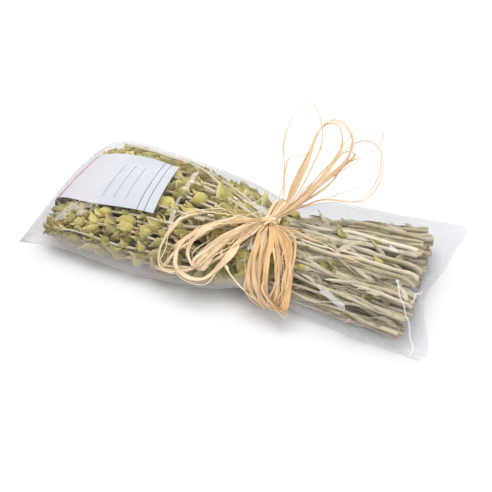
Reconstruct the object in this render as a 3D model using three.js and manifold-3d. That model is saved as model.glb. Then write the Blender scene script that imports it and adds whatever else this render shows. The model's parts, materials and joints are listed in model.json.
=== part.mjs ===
// A bunch of dried mountain tea, laid flat: leafy flower sprigs in a clear film bag, with a
// folded paper card over their tips and a raffia tie with a bow round the waist.
// Millimetres, +Z up. +X runs along the bunch to the cut stalk ends, and +Y to the far side.
// The origin lies on the table, under the middle of the bag.
import * as THREE from "three";
import { mergeVertices } from "three/addons/utils/BufferGeometryUtils.js";
import Module from "manifold-3d";

const wasm = await Module();
wasm.setup();

// Driving dimensions
const SEAL_X = -150.5; // middle of the bag's sealed end
const MOUTH_X = 163; // corners of its open end
const SEAL = { skew: 12.5, bow: 6, blend: 45 }; // the sealed end runs askew and bows inwards
const MOUTH = { dip: 10, middle: -0.15, spread: 0.38, blend: 45 }; // the open end dips near its middle
const FILM = 0.6; // wall of the film, drawn thicker than life
const FILM_ACROSS = 9; // facets from crease to crease
const TIE_X = 26; // where the raffia goes round
const BAND_SLACK = 0.7; // from the film to the raffia
const SPRIG_ROWS = [6, 7, 6, 5]; // sprigs in each row, from the lowest row up
const STALK = { foot: 3, head: 2.2 }; // width of a leafy stalk, which is square
const SPIKE = { foot: 1.9, head: 1.3, throat: 1.5, bud: 3.4 }; // the same of a flower spike
const TIP = { point: 3, bud: 3, throat: 6, first: 10 }; // from the tip to its parts and first bracts
const BUD_SHARE = 0.9; // the bud is no wider than this share of the room beside it
const BRACT_REACH = 8; // from the stalk's middle to a bract's edge
const BRACT_LENGTH = 12;
const BRACT_LEAST = 2.6; // a bract that has less room than this is left off
const BRACT_STEP = { first: 9, growth: 1.36, most: 21, foot: 5, stray: 0.8 }; // from pair to pair
const BLADE = 0.9; // depth of a bract's or a leaf's rib
const LEAF_LENGTH = { mean: 36, stray: 6 };
const LEAF_WIDTH = 5.4;
const LEAF_REACH = 4.4;
const LEAF_STEP = { first: 34, shift: 10, step: 44, stray: 4, end: 8 }; // where the leaf pairs stand
const LEAF_LEAST = 2.9; // a leaf that has less room than this is left off
const STALK_STEP = 14; // between the stalk's rings
const BRACT_GROWTH = { length: 0.9, least: 1, reach: 0.55, narrowest: 1.5 }; // with the step to the next
const BRACT_ROOT = 2; // how much of the stem's side a bract grows from
const LEAF_ROOT = 3;
const TIP_X = { longest: -152.5, skew: 7.5, crown: 24, level: 0.45, stray: 3 }; // where sprigs end
const DRAW_IN = { share: 0.33, from: 20, to: 70 }; // how much narrower the top row is near the tie
const SWAY = { wide: 0.9, slow: 0.04, narrow: 0.5, quick: 0.09 }; // sprigs wander sideways
const WAVE = { share: 0.05, slow: 0.05 }; // and up and down
const PHASE = 6; // spread of the sprigs' phases, in radians
const TURN = 3; // and of their turn about themselves
const CUT = { x: 145, stray: 2.5 }; // the stalks are cut here
const SPLIT = { x: -24, stray: 3 }; // where the flower spike passes into the leafy stalk
const LEAFY = { from: -40, to: 0 }; // leaves need less room than bracts from here on
const FLAT_END = { x: -150, until: -125, spare: 2 }; // near the seal the bracts are pressed closer
const LEAST_ROOM = 2; // the room beside a sprig is not cut below this
const ROOM_STEP = 0.3; // and is cut by this much at a time
const ROOM_SHARES = [0, 0.35, 0.7, 0.95]; // shares of a leaf's length at which its room is measured
const GAP = 0.3; // left between pieces that touch
const CARD = { width: 56.6, fold: 83.4, thick: 0.6, startX: -61.2, startY: -2.8, columns: 5 };
const CARD_BEND = { lean: 1, slant: 0.1, taper: 6.85, drift: 9.25, corner: 3.2, cornerEnd: 0.35 };
const FOLD_ROOM = { before: 5.5, beside: 1.4 }; // tips end this far before it, or lie this far out
const CARD_SLACK = 2.2; // from the film to the card
const CARD_ROOM = 3.2; // under the upper film and over the lower one
const CARD_END = { from: -58, to: -40 }; // where the card's room gives way to
const SLACK = 1.7; // the slack between the film and the plants
const WAIST_Z = 18; // height of the bunch's middle at the tie
const KNOT = { x: 26, y: -13, z: 50, long: 6.5, wide: 5, high: 4.2 };
const RIBBON = 0.6; // thickness of a raffia strip
const RIBBON_END = 0.7; // how much of its width a strip keeps in the knot and at a tail's end
const LOOP_STEPS = 11;
const TAIL_STEPS = 6;

// Bracts that broke off and lie loose in the bag's margins: place, heading (radians), reach, length.
const LOOSE = [
  { x: -52, y: -56, heading: 0.2, reach: 4.5, length: 10 },
  { x: 101, y: 40, heading: 2.95, reach: 5, length: 13 },
  { x: 118, y: 44, heading: 3.6, reach: 4.5, length: 12 },
];

// Raffia strips of the bow: each leaves the knot, and the loops come back to it. A strip starts
// its twist (in radians) at the knot and runs it out to the opposite twist at its end.
const LOOPS = [
  // over the flowers
  {
    width: 1.6,
    twist: 0.9,
    route: [
      [13, -8, 48], [-14, -15, 53], [-39, -33.5, 52.8], [-48, -51.5, 39.8],
      [-46, -61.5, 25.8], [-31, -60.5, 25.8], [-8, -54.5, 34.8], [13, -33, 45],
    ],
  },
  {
    width: 4.2,
    twist: 0.4,
    route: [
      [14, -13, 48], [-8, -23, 50], [-31, -44.5, 44.8], [-35, -56.5, 32.8],
      [-27, -63.5, 22.8], [-11, -63.5, 24.8], [3, -51.5, 37.8], [14, -25, 47],
    ],
  },
  {
    width: 3.2,
    twist: -0.7,
    route: [
      [12, -17, 48], [-3, -38.5, 48.8], [-19, -54.5, 36.8],
      [-13, -58.5, 30.8], [-5, -46.5, 42.8], [12, -21, 48],
    ],
  },
  {
    width: 2.4,
    twist: 0.8,
    route: [
      [13, -15, 50], [-17, -37.5, 50.8], [-27, -51.5, 39.8],
      [-19, -58.5, 30.8], [-8, -49.5, 41.8], [14, -20, 50],
    ],
  },
  // down the near side
  {
    width: 2.6,
    twist: 0.5,
    route: [
      [24, -35, 46], [25, -50, 39], [32, -63, 29], [42, -67, 16],
      [55, -68, 19], [53, -56, 32], [49, -33, 46],
    ],
  },
  {
    width: 4.4,
    twist: 0.2,
    route: [
      [33, -31, 47], [36, -52, 38], [41, -66, 26], [53, -70, 17],
      [57, -67, 24], [52, -45, 41], [40, -26, 48],
    ],
  },
  {
    width: 2.2,
    twist: -0.6,
    route: [
      [28, -36, 47], [31, -53, 37], [37, -65, 22], [44, -67, 13],
      [50, -66, 22], [44, -52, 38], [37, -30, 48],
    ],
  },
  // up and back, clear of the stalks
  {
    width: 1.4,
    twist: 0.5,
    route: [
      [34, -3, 62], [30, 12, 82], [25, 28, 102], [30, 43, 121],
      [40, 46, 126], [52, 35, 111], [52, 20, 92], [40, -1, 62],
    ],
  },
  {
    width: 2.6,
    twist: 1.1,
    route: [
      [35, -4, 57], [41, 18, 80], [48, 40, 104], [61, 47, 112],
      [74, 40, 104], [74, 29, 92], [61, 15, 76], [42, -2, 60],
    ],
  },
  {
    width: 1.8,
    twist: 0.6,
    route: [
      [37, -2, 63], [46, 16, 90], [52, 31, 115], [66, 33, 118],
      [70, 25, 105], [62, 13, 86], [45, 0, 65],
    ],
  },
  {
    width: 2.8,
    twist: 1.2,
    route: [
      [37, -3, 55], [55, 17, 74], [70, 35, 91], [79, 35, 92],
      [74, 28, 87], [55, 13, 73], [40, -4, 57],
    ],
  },
  {
    width: 1.5,
    twist: 0.4,
    route: [
      [39, 0, 58], [60, 31, 80], [80, 49, 94], [96, 45, 91],
      [99, 30, 79], [90, 15, 68], [64, 9, 62], [43, -1, 57],
    ],
  },
];
const TAILS = [
  {
    width: 2.2,
    twist: 0.9,
    route: [[8, -25, 48], [-2, -41, 44], [2, -52, 36], [14, -60, 28], [31, -66, 19], [39, -67, 11]],
  },
  { width: 1.2, twist: 0.5, route: [[44, -16, 49], [65, -20, 48], [92, -29, 47], [113, -35, 45]] },
  { width: 1.3, twist: 0.3, route: [[40, -2, 57], [62, 8, 65], [88, 20, 75]] },
];

// The bunch from above: how far its outermost stems lie from its middle, and where that runs.
const BUNCH = [
  { x: -158, half: 38, y: -2 },
  { x: -120, half: 50, y: 3.5 },
  { x: -70, half: 50, y: 0 },
  { x: -20, half: 47, y: -2.5 },
  { x: 26, half: 36, y: -10 },
  { x: 75, half: 47, y: -6 },
  { x: 145, half: 51, y: -8 },
];

// The bag's outline: each side crease, the top of the upper film and the bottom of the lower one.
const BAG = [
  { x: -150.5, near: -65, nearZ: 20, far: 83, farZ: 10, top: 16.5, bottom: 15 },
  { x: -143, near: -62, nearZ: 18, far: 80, farZ: 12, top: 30, bottom: 6 },
  { x: -128, near: -57.5, nearZ: 16, far: 75, farZ: 14, top: 46, bottom: 1 },
  { x: -105, near: -59, nearZ: 13, far: 70, farZ: 16, top: 55, bottom: 0 },
  { x: -70, near: -63, nearZ: 12, far: 64, farZ: 17, top: 57, bottom: 0 },
  { x: -30, near: -63.5, nearZ: 13, far: 58.5, farZ: 18, top: 52, bottom: 0 },
  { x: -5, near: -62.5, nearZ: 15, far: 52.5, farZ: 20.5, top: 47.5, bottom: 1 },
  { x: 14, near: -59.5, nearZ: 20, far: 44.5, farZ: 22.5, top: 43.5, bottom: 3 },
  { x: 26, near: -58, nearZ: 22, far: 36.5, farZ: 22.5, top: 42.5, bottom: 3.2 },
  { x: 38, near: -59, nearZ: 20, far: 40, farZ: 22, top: 42.5, bottom: 3 },
  { x: 58, near: -63, nearZ: 14, far: 53, farZ: 18, top: 43, bottom: 0 },
  { x: 90, near: -71, nearZ: 12, far: 57, farZ: 17, top: 42, bottom: 0 },
  { x: 118, near: -77, nearZ: 12, far: 58, farZ: 17, top: 41, bottom: 0 },
  { x: 140, near: -80, nearZ: 12, far: 61, farZ: 16, top: 40, bottom: 0.6 },
  { x: 150, near: -81.5, nearZ: 12, far: 63, farZ: 16, top: 36, bottom: 2.5 },
  { x: 163, near: -83, nearZ: 12, far: 65, farZ: 16, top: 19, bottom: 14 },
];

const MATERIALS = {
  film: new THREE.MeshStandardMaterial({ color: 0xe4e6ea, roughness: 0.12, transparent: true, opacity: 0.3 }),
  card: new THREE.MeshStandardMaterial({ color: 0xe9ecf3, roughness: 0.6 }),
  bract: new THREE.MeshStandardMaterial({ color: 0xa9a659, roughness: 0.8 }),
  stalk: new THREE.MeshStandardMaterial({ color: 0xb3ab8e, roughness: 0.85 }),
  raffia: new THREE.MeshStandardMaterial({ color: 0xe6bd8c, roughness: 0.6 }),
};

// A repeatable value from -1 to 1 for sprig k and use n.
function vary(k, n) {
  const wave = Math.sin(k * 12.9898 + n * 78.233) * 43758.5453;
  return 2 * (wave - Math.floor(wave)) - 1;
}

function mix(a, b, t) {
  return a + (b - a) * t;
}

function smoothStep(from, to, value) {
  const t = Math.min(1, Math.max(0, (value - from) / (to - from)));
  return t * t * (3 - 2 * t);
}

// The value of one column of a table at x, on a smooth curve through its rows.
function along(table, column, x) {
  const last = table.length - 1;
  if (x <= table[0].x) return table[0][column];
  if (x >= table[last].x) return table[last][column];
  let i = 0;
  while (table[i + 1].x < x) i++;
  const slope = (j) => {
    const [p, q] = [table[Math.max(0, j - 1)], table[Math.min(last, j + 1)]];
    return (q[column] - p[column]) / (q.x - p.x);
  };
  const [p, q] = [table[i], table[i + 1]];
  const span = q.x - p.x;
  const t = (x - p.x) / span;
  return (
    (2 * t ** 3 - 3 * t ** 2 + 1) * p[column] +
    (t ** 3 - 2 * t ** 2 + t) * span * slope(i) +
    (3 * t ** 2 - 2 * t ** 3) * q[column] +
    (t ** 3 - t ** 2) * span * slope(i + 1)
  );
}

const MERGE = 1e-4; // vertices closer than this are one

// A closed surface through rings of points. A ring of one point is a tip, and the others are even.
// The second half of each ring is split the other way, so that both faces of a blade are alike.
function skin(rings) {
  const points = rings.flat();
  const starts = rings.map((_, i) => rings.slice(0, i).reduce((n, r) => n + r.length, 0));
  const faces = [];
  for (let i = 0; i + 1 < rings.length; i++) {
    const [p, q] = [rings[i].length, rings[i + 1].length];
    for (let j = 0; j < Math.max(p, q); j++) {
      const [a, b] = [starts[i] + (j % p), starts[i] + ((j + 1) % p)];
      const [c, d] = [starts[i + 1] + (j % q), starts[i + 1] + ((j + 1) % q)];
      const mirrored = p > 1 && q > 1 && j >= p / 2;
      if (p > 1) faces.push([a, b, mirrored ? d : c]);
      if (q > 1) faces.push([mirrored ? a : b, d, c]);
    }
  }
  const cap = (start, n, turn) => {
    for (let j = 0; j + 1 < n - 1 - j; j++) {
      const [a, b, c, d] = [j, j + 1, n - 2 - j, n - 1 - j].map((v) => start + v);
      faces.push(turn ? [a, b, d] : [a, d, b], turn ? [b, c, d] : [b, d, c]);
    }
  };
  cap(starts[0], rings[0].length, false);
  cap(starts.at(-1), rings.at(-1).length, true);
  return solidFrom(points, faces);
}

// A manifold-3d solid of points and triangles, turned to face out.
function solidFrom(points, faces) {
  let volume = 0;
  for (const [a, b, c] of faces) {
    volume += points[a].dot(new THREE.Vector3().crossVectors(points[b], points[c]));
  }
  const triangles = volume < 0 ? faces.map(([a, b, c]) => [a, c, b]) : faces;
  const geometry = new THREE.BufferGeometry().setFromPoints(points);
  geometry.setIndex(triangles.flat());
  return solidOf(geometry);
}

// A manifold-3d solid of a closed three.js geometry.
function solidOf(geometry) {
  const bare = geometry.clone();
  bare.deleteAttribute("normal");
  bare.deleteAttribute("uv");
  const merged = mergeVertices(bare, MERGE);
  return new wasm.Manifold(
    new wasm.Mesh({
      numProp: 3,
      vertProperties: new Float32Array(merged.attributes.position.array),
      triVerts: new Uint32Array(merged.index.array),
    }),
  );
}

function union(solids) {
  return wasm.Manifold.union(solids);
}

// The one largest body of a solid, without loose scraps.
function largestBody(solid) {
  return solid.decompose().sort((a, b) => b.volume() - a.volume())[0];
}

function meshOf(name, solid, material) {
  const { vertProperties, triVerts, numProp, numVert } = solid.getMesh();
  const position = new Float32Array(numVert * 3);
  for (let i = 0; i < numVert; i++) {
    position.set(vertProperties.subarray(i * numProp, i * numProp + 3), i * 3);
  }
  const geometry = new THREE.BufferGeometry();
  geometry.setAttribute("position", new THREE.BufferAttribute(position, 3));
  geometry.setIndex(new THREE.BufferAttribute(new Uint32Array(triVerts), 1));
  geometry.computeVertexNormals();
  const mesh = new THREE.Mesh(geometry, material);
  mesh.name = name;
  return mesh;
}

// The film bag
const TOP_ROUND = { power: 2.6, swell: 0.7 };
const BOTTOM_ROUND = { power: 2.6, swell: 0.8, press: 1.21 };
const CREASE_SHARE = 0.985; // heights are read this close to a side crease at most
const HEIGHT_PASSES = 5; // passes that find the station under a plan point
const BEYOND_MOUTH = 12; // how far the hollow is cut past the open end

// How far the bag's ends stray along it. u goes from -1 at the near crease to 1 at the far one.
function endSlant(x, u) {
  const sealed = 1 - smoothStep(SEAL_X, SEAL_X + SEAL.blend, x);
  const open = smoothStep(MOUTH_X - MOUTH.blend, MOUTH_X, x);
  const dip = MOUTH.dip * Math.exp(-(((u - MOUTH.middle) / MOUTH.spread) ** 2));
  return sealed * (SEAL.skew * u - SEAL.bow * (1 - u * u)) - open * dip;
}

// A point of the film at station x and share u across it.
function filmPoint(x, u, upper, inset = 0) {
  const half = (along(BAG, "far", x) - along(BAG, "near", x)) / 2 - 2 * inset;
  const middle = (along(BAG, "far", x) + along(BAG, "near", x)) / 2;
  const crease = mix(along(BAG, "nearZ", x), along(BAG, "farZ", x), (u + 1) / 2);
  const edge = Math.abs(u);
  let z;
  if (upper) {
    const rise = (1 - edge ** TOP_ROUND.power) ** TOP_ROUND.swell;
    z = crease + (along(BAG, "top", x) - inset - crease) * rise;
  } else {
    const fall = BOTTOM_ROUND.press * (1 - edge ** BOTTOM_ROUND.power) ** BOTTOM_ROUND.swell;
    z = crease + (Math.max(0, along(BAG, "bottom", x)) + inset - crease) * Math.min(1, fall);
  }
  return new THREE.Vector3(x + endSlant(x, u), middle + half * u, z);
}

// The film's height over the plan point (x, y).
function filmHeight(x, y, upper, inset = 0) {
  let station = x;
  let u = 0;
  for (let i = 0; i < HEIGHT_PASSES; i++) {
    const [near, far] = [along(BAG, "near", station), along(BAG, "far", station)];
    const share = (2 * y - near - far) / (far - near - 4 * inset);
    u = Math.min(CREASE_SHARE, Math.max(-CREASE_SHARE, share));
    station = x - endSlant(station, u);
  }
  return filmPoint(station, u, upper, inset).z;
}

function filmRing(x, across, inset) {
  const ring = [];
  for (let j = 0; j < across; j++) {
    ring.push(filmPoint(x, -Math.cos((Math.PI * j) / across), true, inset));
  }
  for (let j = 0; j < across; j++) {
    ring.push(filmPoint(x, Math.cos((Math.PI * j) / across), false, inset));
  }
  return ring;
}

// The left end is sealed flat, and the film is open at the stalks' end.
function filmBag() {
  const stations = [SEAL_X, -148, -143, -135, -123, -105, -80, -50, -25, -5, 8];
  stations.push(20, TIE_X, 32, 43, 58, 82, 110, 135, 148, 157, MOUTH_X);
  const outer = skin(stations.map((x) => filmRing(x, FILM_ACROSS, 0)));
  const hollow = stations.slice(1).map((x) => filmRing(x, FILM_ACROSS, FILM));
  const mouth = hollow.at(-1).map((p) => p.clone().add(new THREE.Vector3(BEYOND_MOUTH, 0, 0)));
  return largestBody(outer.subtract(skin([...hollow, mouth])));
}

// Sprigs: each runs the whole bunch, at the same share of its width and height all the way.
const SEATS = SPRIG_ROWS.flatMap((count, row) => {
  const level = row / (SPRIG_ROWS.length - 1);
  const widest = Math.max(...SPRIG_ROWS) - 1;
  return Array.from({ length: count }, (_, i) => ({ side: (2 * i - count + 1) / widest, level }));
}).map((seat, k) => ({ ...seat, k }));

// What the film and the card take of the height inside, on each side.
function lining(x) {
  return FILM + mix(CARD_ROOM, SLACK, smoothStep(CARD_END.from, CARD_END.to, x));
}

// The heights between which the sprigs' middles lie at a plan point.
function spanInside(x, y) {
  const reach = mix(BRACT_REACH, LEAF_REACH, smoothStep(LEAFY.from, LEAFY.to, x));
  const pressed = FLAT_END.spare * (1 - smoothStep(FLAT_END.x, FLAT_END.until, x));
  const taken = lining(x) + reach - pressed;
  return [filmHeight(x, y, false) + taken, filmHeight(x, y, true) - taken];
}

function sprigPoint({ side, level, k }, x) {
  const slow = SWAY.wide * Math.sin(x * SWAY.slow + PHASE * vary(k, 1));
  const sway = slow + SWAY.narrow * Math.sin(x * SWAY.quick + PHASE * vary(k, 20));
  const atTie = 1 - smoothStep(DRAW_IN.from, DRAW_IN.to, Math.abs(x - TIE_X));
  const drawnIn = DRAW_IN.share * level * atTie;
  const y = along(BUNCH, "y", x) + side * (1 - drawnIn) * along(BUNCH, "half", x) + sway;
  const [low, high] = spanInside(x, y);
  const wave = WAVE.share * Math.sin(x * WAVE.slow + PHASE * vary(k, 21));
  return new THREE.Vector3(x, y, mix(low, high, Math.min(1, Math.max(0, level + wave))));
}

// Whether a circle of this radius, upright and across the bunch, lies inside the films.
function fits(place, radius) {
  for (let turn = 0; turn < 2 * Math.PI; turn += Math.PI / 6) {
    const [y, z] = [place.y + radius * Math.cos(turn), place.z + radius * Math.sin(turn)];
    const [low, high] = [filmHeight(place.x, y, false), filmHeight(place.x, y, true)];
    if (z < low + lining(place.x) || z > high - lining(place.x)) return false;
  }
  return true;
}

// How far a sprig may reach out at x without touching the next sprig, the card or the film.
function room(seat, x) {
  const place = sprigPoint(seat, x);
  const others = SEATS.filter((other) => other.k !== seat.k);
  const nearest = Math.min(...others.map((other) => sprigPoint(other, x).distanceTo(place)));
  let radius = Math.min(BRACT_REACH, nearest / 2 - GAP);
  while (radius > LEAST_ROOM && !fits(place, radius)) radius -= ROOM_STEP;
  return radius;
}

// Points round a sprig from x on towards its tip: how far forward, how far out at an angle, and
// how far to the side of that.
function around(seat, x, angle) {
  return (forward, out, side) => {
    const place = sprigPoint(seat, x - forward);
    const tipward = sprigPoint(seat, x - forward - 1).sub(place).normalize();
    const level = new THREE.Vector3(0, 1, 0).addScaledVector(tipward, -tipward.y).normalize();
    const outward = level.applyAxisAngle(tipward, angle);
    const sideways = new THREE.Vector3().crossVectors(tipward, outward);
    return place.addScaledVector(outward, out).addScaledVector(sideways, side);
  };
}

function splitOf({ k }) {
  return SPLIT.x + SPLIT.stray * vary(k, 6);
}

// One closed surface of a four-sided stem and the blades that grow from its sides. rings lists x
// and width from the foot to the tip, and each blade takes the place of one side of the stem
// between the ring it names and the next.
function shoot(seat, rings, blades, pointed) {
  const angle = TURN * vary(seat.k, 2);
  const sides = [0, 1, 2, 3];
  const points = rings.flatMap(({ x, width }) =>
    sides.map((j) => around(seat, x, angle + (j * Math.PI) / 2)(0, width / Math.SQRT2, 0)),
  );
  const faces = [[0, 3, 2], [0, 2, 1]];
  for (let i = 0; i + 1 < rings.length; i++) {
    for (const j of sides) {
      const root = [4 * i + j, 4 * i + ((j + 1) % 4)];
      const [a, b] = root;
      const grown = blades.find((blade) => blade.ring === i && blade.side === j);
      if (grown) {
        const at = around(seat, rings[i].x, angle + ((j + 0.5) * Math.PI) / 2);
        addBlade(points, faces, at, [a, b, b + 4, a + 4], grown);
      } else {
        faces.push([a, b, b + 4], [a, b + 4, a + 4]);
      }
    }
  }
  const head = 4 * (rings.length - 1);
  if (pointed) {
    const tip = points.push(around(seat, rings.at(-1).x, 0)(TIP.point, 0, 0)) - 1;
    sides.forEach((j) => faces.push([head + j, head + ((j + 1) % 4), tip]));
  } else {
    faces.push([head, head + 1, head + 2], [head, head + 2, head + 3]);
  }
  return solidFrom(points, faces);
}

// A thin blade of chevron sections that grows from four root points and ends in a tip.
function addBlade(points, faces, at, [rootLeft, rootRight, innerRight, innerLeft], { sections, tip }) {
  const first = points.length;
  for (const { forward, rib, edge, half } of sections) {
    points.push(at(forward, edge, -half), at(forward, rib, 0));
    points.push(at(forward, edge, half), at(forward, rib - BLADE, 0));
  }
  const end = points.push(at(tip.forward, tip.rib, 0)) - 1;
  const [left, outer, right, inner] = [first, first + 1, first + 2, first + 3];
  faces.push([rootLeft, rootRight, outer], [rootRight, right, outer], [rootLeft, outer, left]);
  faces.push([right, rootRight, innerRight], [rootLeft, left, innerLeft]);
  faces.push([inner, innerRight, innerLeft], [innerRight, inner, right], [innerLeft, left, inner]);
  for (let i = 0; i + 1 < sections.length; i++) {
    for (const [a, b] of [[0, 1], [1, 2], [2, 3], [3, 0]]) {
      const [p, q] = [first + 4 * i + a, first + 4 * i + b];
      const mirrored = a > 1;
      faces.push([p, q, mirrored ? p + 4 : q + 4], [mirrored ? q : p, q + 4, p + 4]);
    }
  }
  const last = first + 4 * (sections.length - 1);
  faces.push([last + 1, last + 2, end], [last, last + 1, end]);
  faces.push([last + 3, end, last + 2], [last + 3, last, end]);
}

// Shapes of a bract and a leaf: shares of the length, and of the reach or the width.
const BRACT_SHAPE = { widest: { forward: 0.42, rib: 0.86, edge: 0.24, half: 0.94 }, tip: 0.98 };
const LEAF_SHAPE = {
  lower: { forward: 0.28, rib: 0.94, edge: 0.78, half: 0.46 },
  upper: { forward: 0.7, rib: 1, edge: 0.82, half: 0.42 },
  tip: 0.86,
  fullest: 1.16, // its width at most, as a share of the reach
};

function blade({ forward, rib, edge, half }, length, reach, width) {
  return { forward: forward * length, rib: rib * reach, edge: edge * reach, half: half * width };
}

// A cupped bract with a drawn-out point.
function bract(reach, length) {
  const { widest, tip } = BRACT_SHAPE;
  return { sections: [blade(widest, length, reach, reach)], tip: { forward: length, rib: tip * reach } };
}

// A narrow leaf lying along the stalk.
function leaf(reach, length) {
  const { lower, upper, tip, fullest } = LEAF_SHAPE;
  const width = Math.min(LEAF_WIDTH, fullest * reach);
  const sections = [lower, upper].map((section) => blade(section, length, reach, width));
  return { sections, tip: { forward: length, rib: tip * reach } };
}

// The middle rows reach furthest into the sealed end, and the near ones further than the far ones.
// Those that the card is folded round end short of its fold.
function tipOf(seat) {
  const { side, level, k } = seat;
  const { longest, skew, crown, stray } = TIP_X;
  const free = longest + skew * (side + 1) + crown * (level - TIP_X.level) ** 2 + stray * vary(k, 3);
  const fromMiddle = sprigPoint(seat, free).y - CARD.startY - CARD_BEND.drift;
  const u = fromMiddle / (CARD.width / 2 - CARD_BEND.taper);
  if (Math.abs(u) > FOLD_ROOM.beside) return free;
  return Math.max(free, foldX(Math.min(1, u)) + FOLD_ROOM.before);
}

// Where the card folds, from u = -1 at its near edge to 1 at its far one.
function foldX(u) {
  return CARD.startX + CARD_BEND.lean * u - CARD.fold * (1 - CARD_BEND.slant * u);
}

// Pairs of bracts stand crosswise, crowded at the tip and further and further apart down the stem.
function flowerSpike(seat) {
  const tip = tipOf(seat);
  const foot = splitOf(seat) - GAP / 2;
  const widthAt = (x) => mix(SPIKE.head, SPIKE.foot, (x - tip) / (foot - tip));
  const { first, growth, most, stray } = BRACT_STEP;
  const nodes = [];
  let step = first;
  let x = tip + TIP.first;
  while (x < foot - BRACT_STEP.foot) {
    const length = Math.min(BRACT_LENGTH, BRACT_GROWTH.length * step + BRACT_GROWTH.least);
    const wide = BRACT_GROWTH.reach * step + BRACT_GROWTH.narrowest;
    const reach = Math.min(BRACT_REACH, wide, room(seat, x), room(seat, x - length));
    if (reach > BRACT_LEAST) nodes.unshift({ x: x + stray * vary(seat.k, nodes.length), length, reach });
    x += step;
    step = Math.min(most, step * growth);
  }
  const rings = [{ x: foot, width: SPIKE.foot }];
  const blades = [];
  nodes.forEach(({ x, length, reach }, i) => {
    for (const side of [i % 2, (i % 2) + 2]) {
      blades.push({ ring: rings.length, side, ...bract(reach, length) });
    }
    rings.push({ x, width: widthAt(x) }, { x: x - BRACT_ROOT, width: widthAt(x) });
  });
  const bud = Math.min(SPIKE.bud, BUD_SHARE * room(seat, tip + TIP.bud));
  rings.push({ x: tip + TIP.throat, width: SPIKE.throat }, { x: tip + TIP.bud, width: bud });
  return shoot(seat, rings, blades, true);
}

// The leafy stalk: leaves stand in opposite pairs and lie along it, towards the flowers.
function leafyStalk(seat) {
  const head = splitOf(seat) + GAP / 2;
  const cutEnd = CUT.x + CUT.stray * vary(seat.k, 7);
  const widthAt = (x) => mix(STALK.head, STALK.foot, (x - head) / (cutEnd - head));
  const { first, shift, step, stray, end } = LEAF_STEP;
  const ringsBetween = (from, to) => {
    const count = Math.floor((from - to) / STALK_STEP);
    const places = Array.from({ length: count }, (_, i) => mix(from, to, (i + 1) / (count + 1)));
    return places.map((x) => ({ x, width: widthAt(x) }));
  };
  const rings = [{ x: cutEnd, width: STALK.foot }];
  const blades = [];
  for (const pair of [2, 1, 0]) {
    const place = first + shift * vary(seat.k, 8) + step * pair + stray * vary(seat.k, 9 + pair);
    const x = Math.min(cutEnd - end, place);
    const grown = [];
    for (const half of [0, 1]) {
      const length = LEAF_LENGTH.mean + LEAF_LENGTH.stray * vary(seat.k, 15 + pair + 3 * half);
      const rooms = ROOM_SHARES.map((share) => room(seat, x - share * length));
      const reach = Math.min(LEAF_REACH, ...rooms);
      const side = (pair % 2) + 2 * half;
      if (reach > LEAF_LEAST) grown.push({ side, ...leaf(reach, length) });
    }
    rings.push(...ringsBetween(rings.at(-1).x, x));
    blades.push(...grown.map((blade) => ({ ring: rings.length, ...blade })));
    rings.push({ x, width: widthAt(x) }, { x: x - LEAF_ROOT, width: widthAt(x) });
  }
  rings.push(...ringsBetween(rings.at(-1).x, head), { x: head, width: widthAt(head) });
  return shoot(seat, rings, blades, false);
}

// The paper card: a front under the upper film, a fold round the tips and a back below them.
// turn goes from 0 on the front to 1 on the back.
function cardPoint(across, down, turn, lift) {
  const { lean, slant, taper, drift, corner, cornerEnd } = CARD_BEND;
  const u = (2 * across) / CARD.width;
  const d = down - lift * Math.sin(Math.PI * turn);
  const bend = (d / CARD.fold) ** 4;
  const tuck = corner * Math.max(0, u) * (1 - smoothStep(0, cornerEnd, d / CARD.fold));
  const x = CARD.startX + lean * u - d * (1 - slant * u);
  const y = CARD.startY + across - taper * u * bend + drift * bend - tuck;
  const front = filmHeight(x, y, true, FILM) - CARD_SLACK;
  const back = filmHeight(x, y, false, FILM) + CARD_SLACK;
  return new THREE.Vector3(x, y, mix(front, back, turn) - lift * Math.cos(Math.PI * turn));
}

function foldedCard() {
  const { fold, width, thick, columns } = CARD;
  const front = [0, 20, 40, 56, 68, 77].map((down) => [down, 0]);
  const bend = [[fold - 4, 0.02], [fold - 1, 0.16], [fold, 0.5], [fold - 1, 0.84], [fold - 4, 0.98]];
  const back = [74, 62, 42, 16].map((down) => [down, 1]);
  const row = (down, turn, lift) =>
    Array.from({ length: columns + 1 }, (_, j) => cardPoint(width * (j / columns - 0.5), down, turn, lift));
  const path = [...front, ...bend, ...back];
  return skin(path.map(([down, turn]) => [...row(down, turn, 0), ...row(down, turn, thick).reverse()]));
}

const LOOSE_SHAPE = {
  rib: 0.35, // height of the rib, as a share of the reach
  tip: 0.3, // height of the tip, as a share of the rib
  rows: [{ forward: 0, half: 0.3 }, { forward: 0.25, half: 0.8 }, { forward: 0.55, half: 0.7 }],
};

// A loose bract on the lower film, hollow side down.
function looseBract({ x, y, heading, reach, length }) {
  const floor = filmHeight(x, y, false) + FILM + 2 * SLACK;
  const at = (forward, out, side) =>
    new THREE.Vector3(
      x + forward * Math.cos(heading) - side * Math.sin(heading),
      y + forward * Math.sin(heading) + side * Math.cos(heading),
      floor + out,
    );
  const rib = LOOSE_SHAPE.rib * reach;
  const sections = LOOSE_SHAPE.rows.map(({ forward, half }) => [
    at(forward * length, 0, -half * reach),
    at(forward * length, Math.max(rib - BLADE, rib / 3), 0),
    at(forward * length, 0, half * reach),
    at(forward * length, rib, 0),
  ]);
  return skin([...sections, [at(length, LOOSE_SHAPE.tip * rib, 0)]]);
}

// Its ridges across: how far along the bunch, and how high.
const RIDGES = [
  [-6, 0], [-6, 0.9], [-4, 1.5], [-2, 0.9], [0, 1.7], [2, 0.9], [4, 1.5], [6, 0.9],
  [6, 0], [3, 0], [0, 0], [-3, 0],
];

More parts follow.
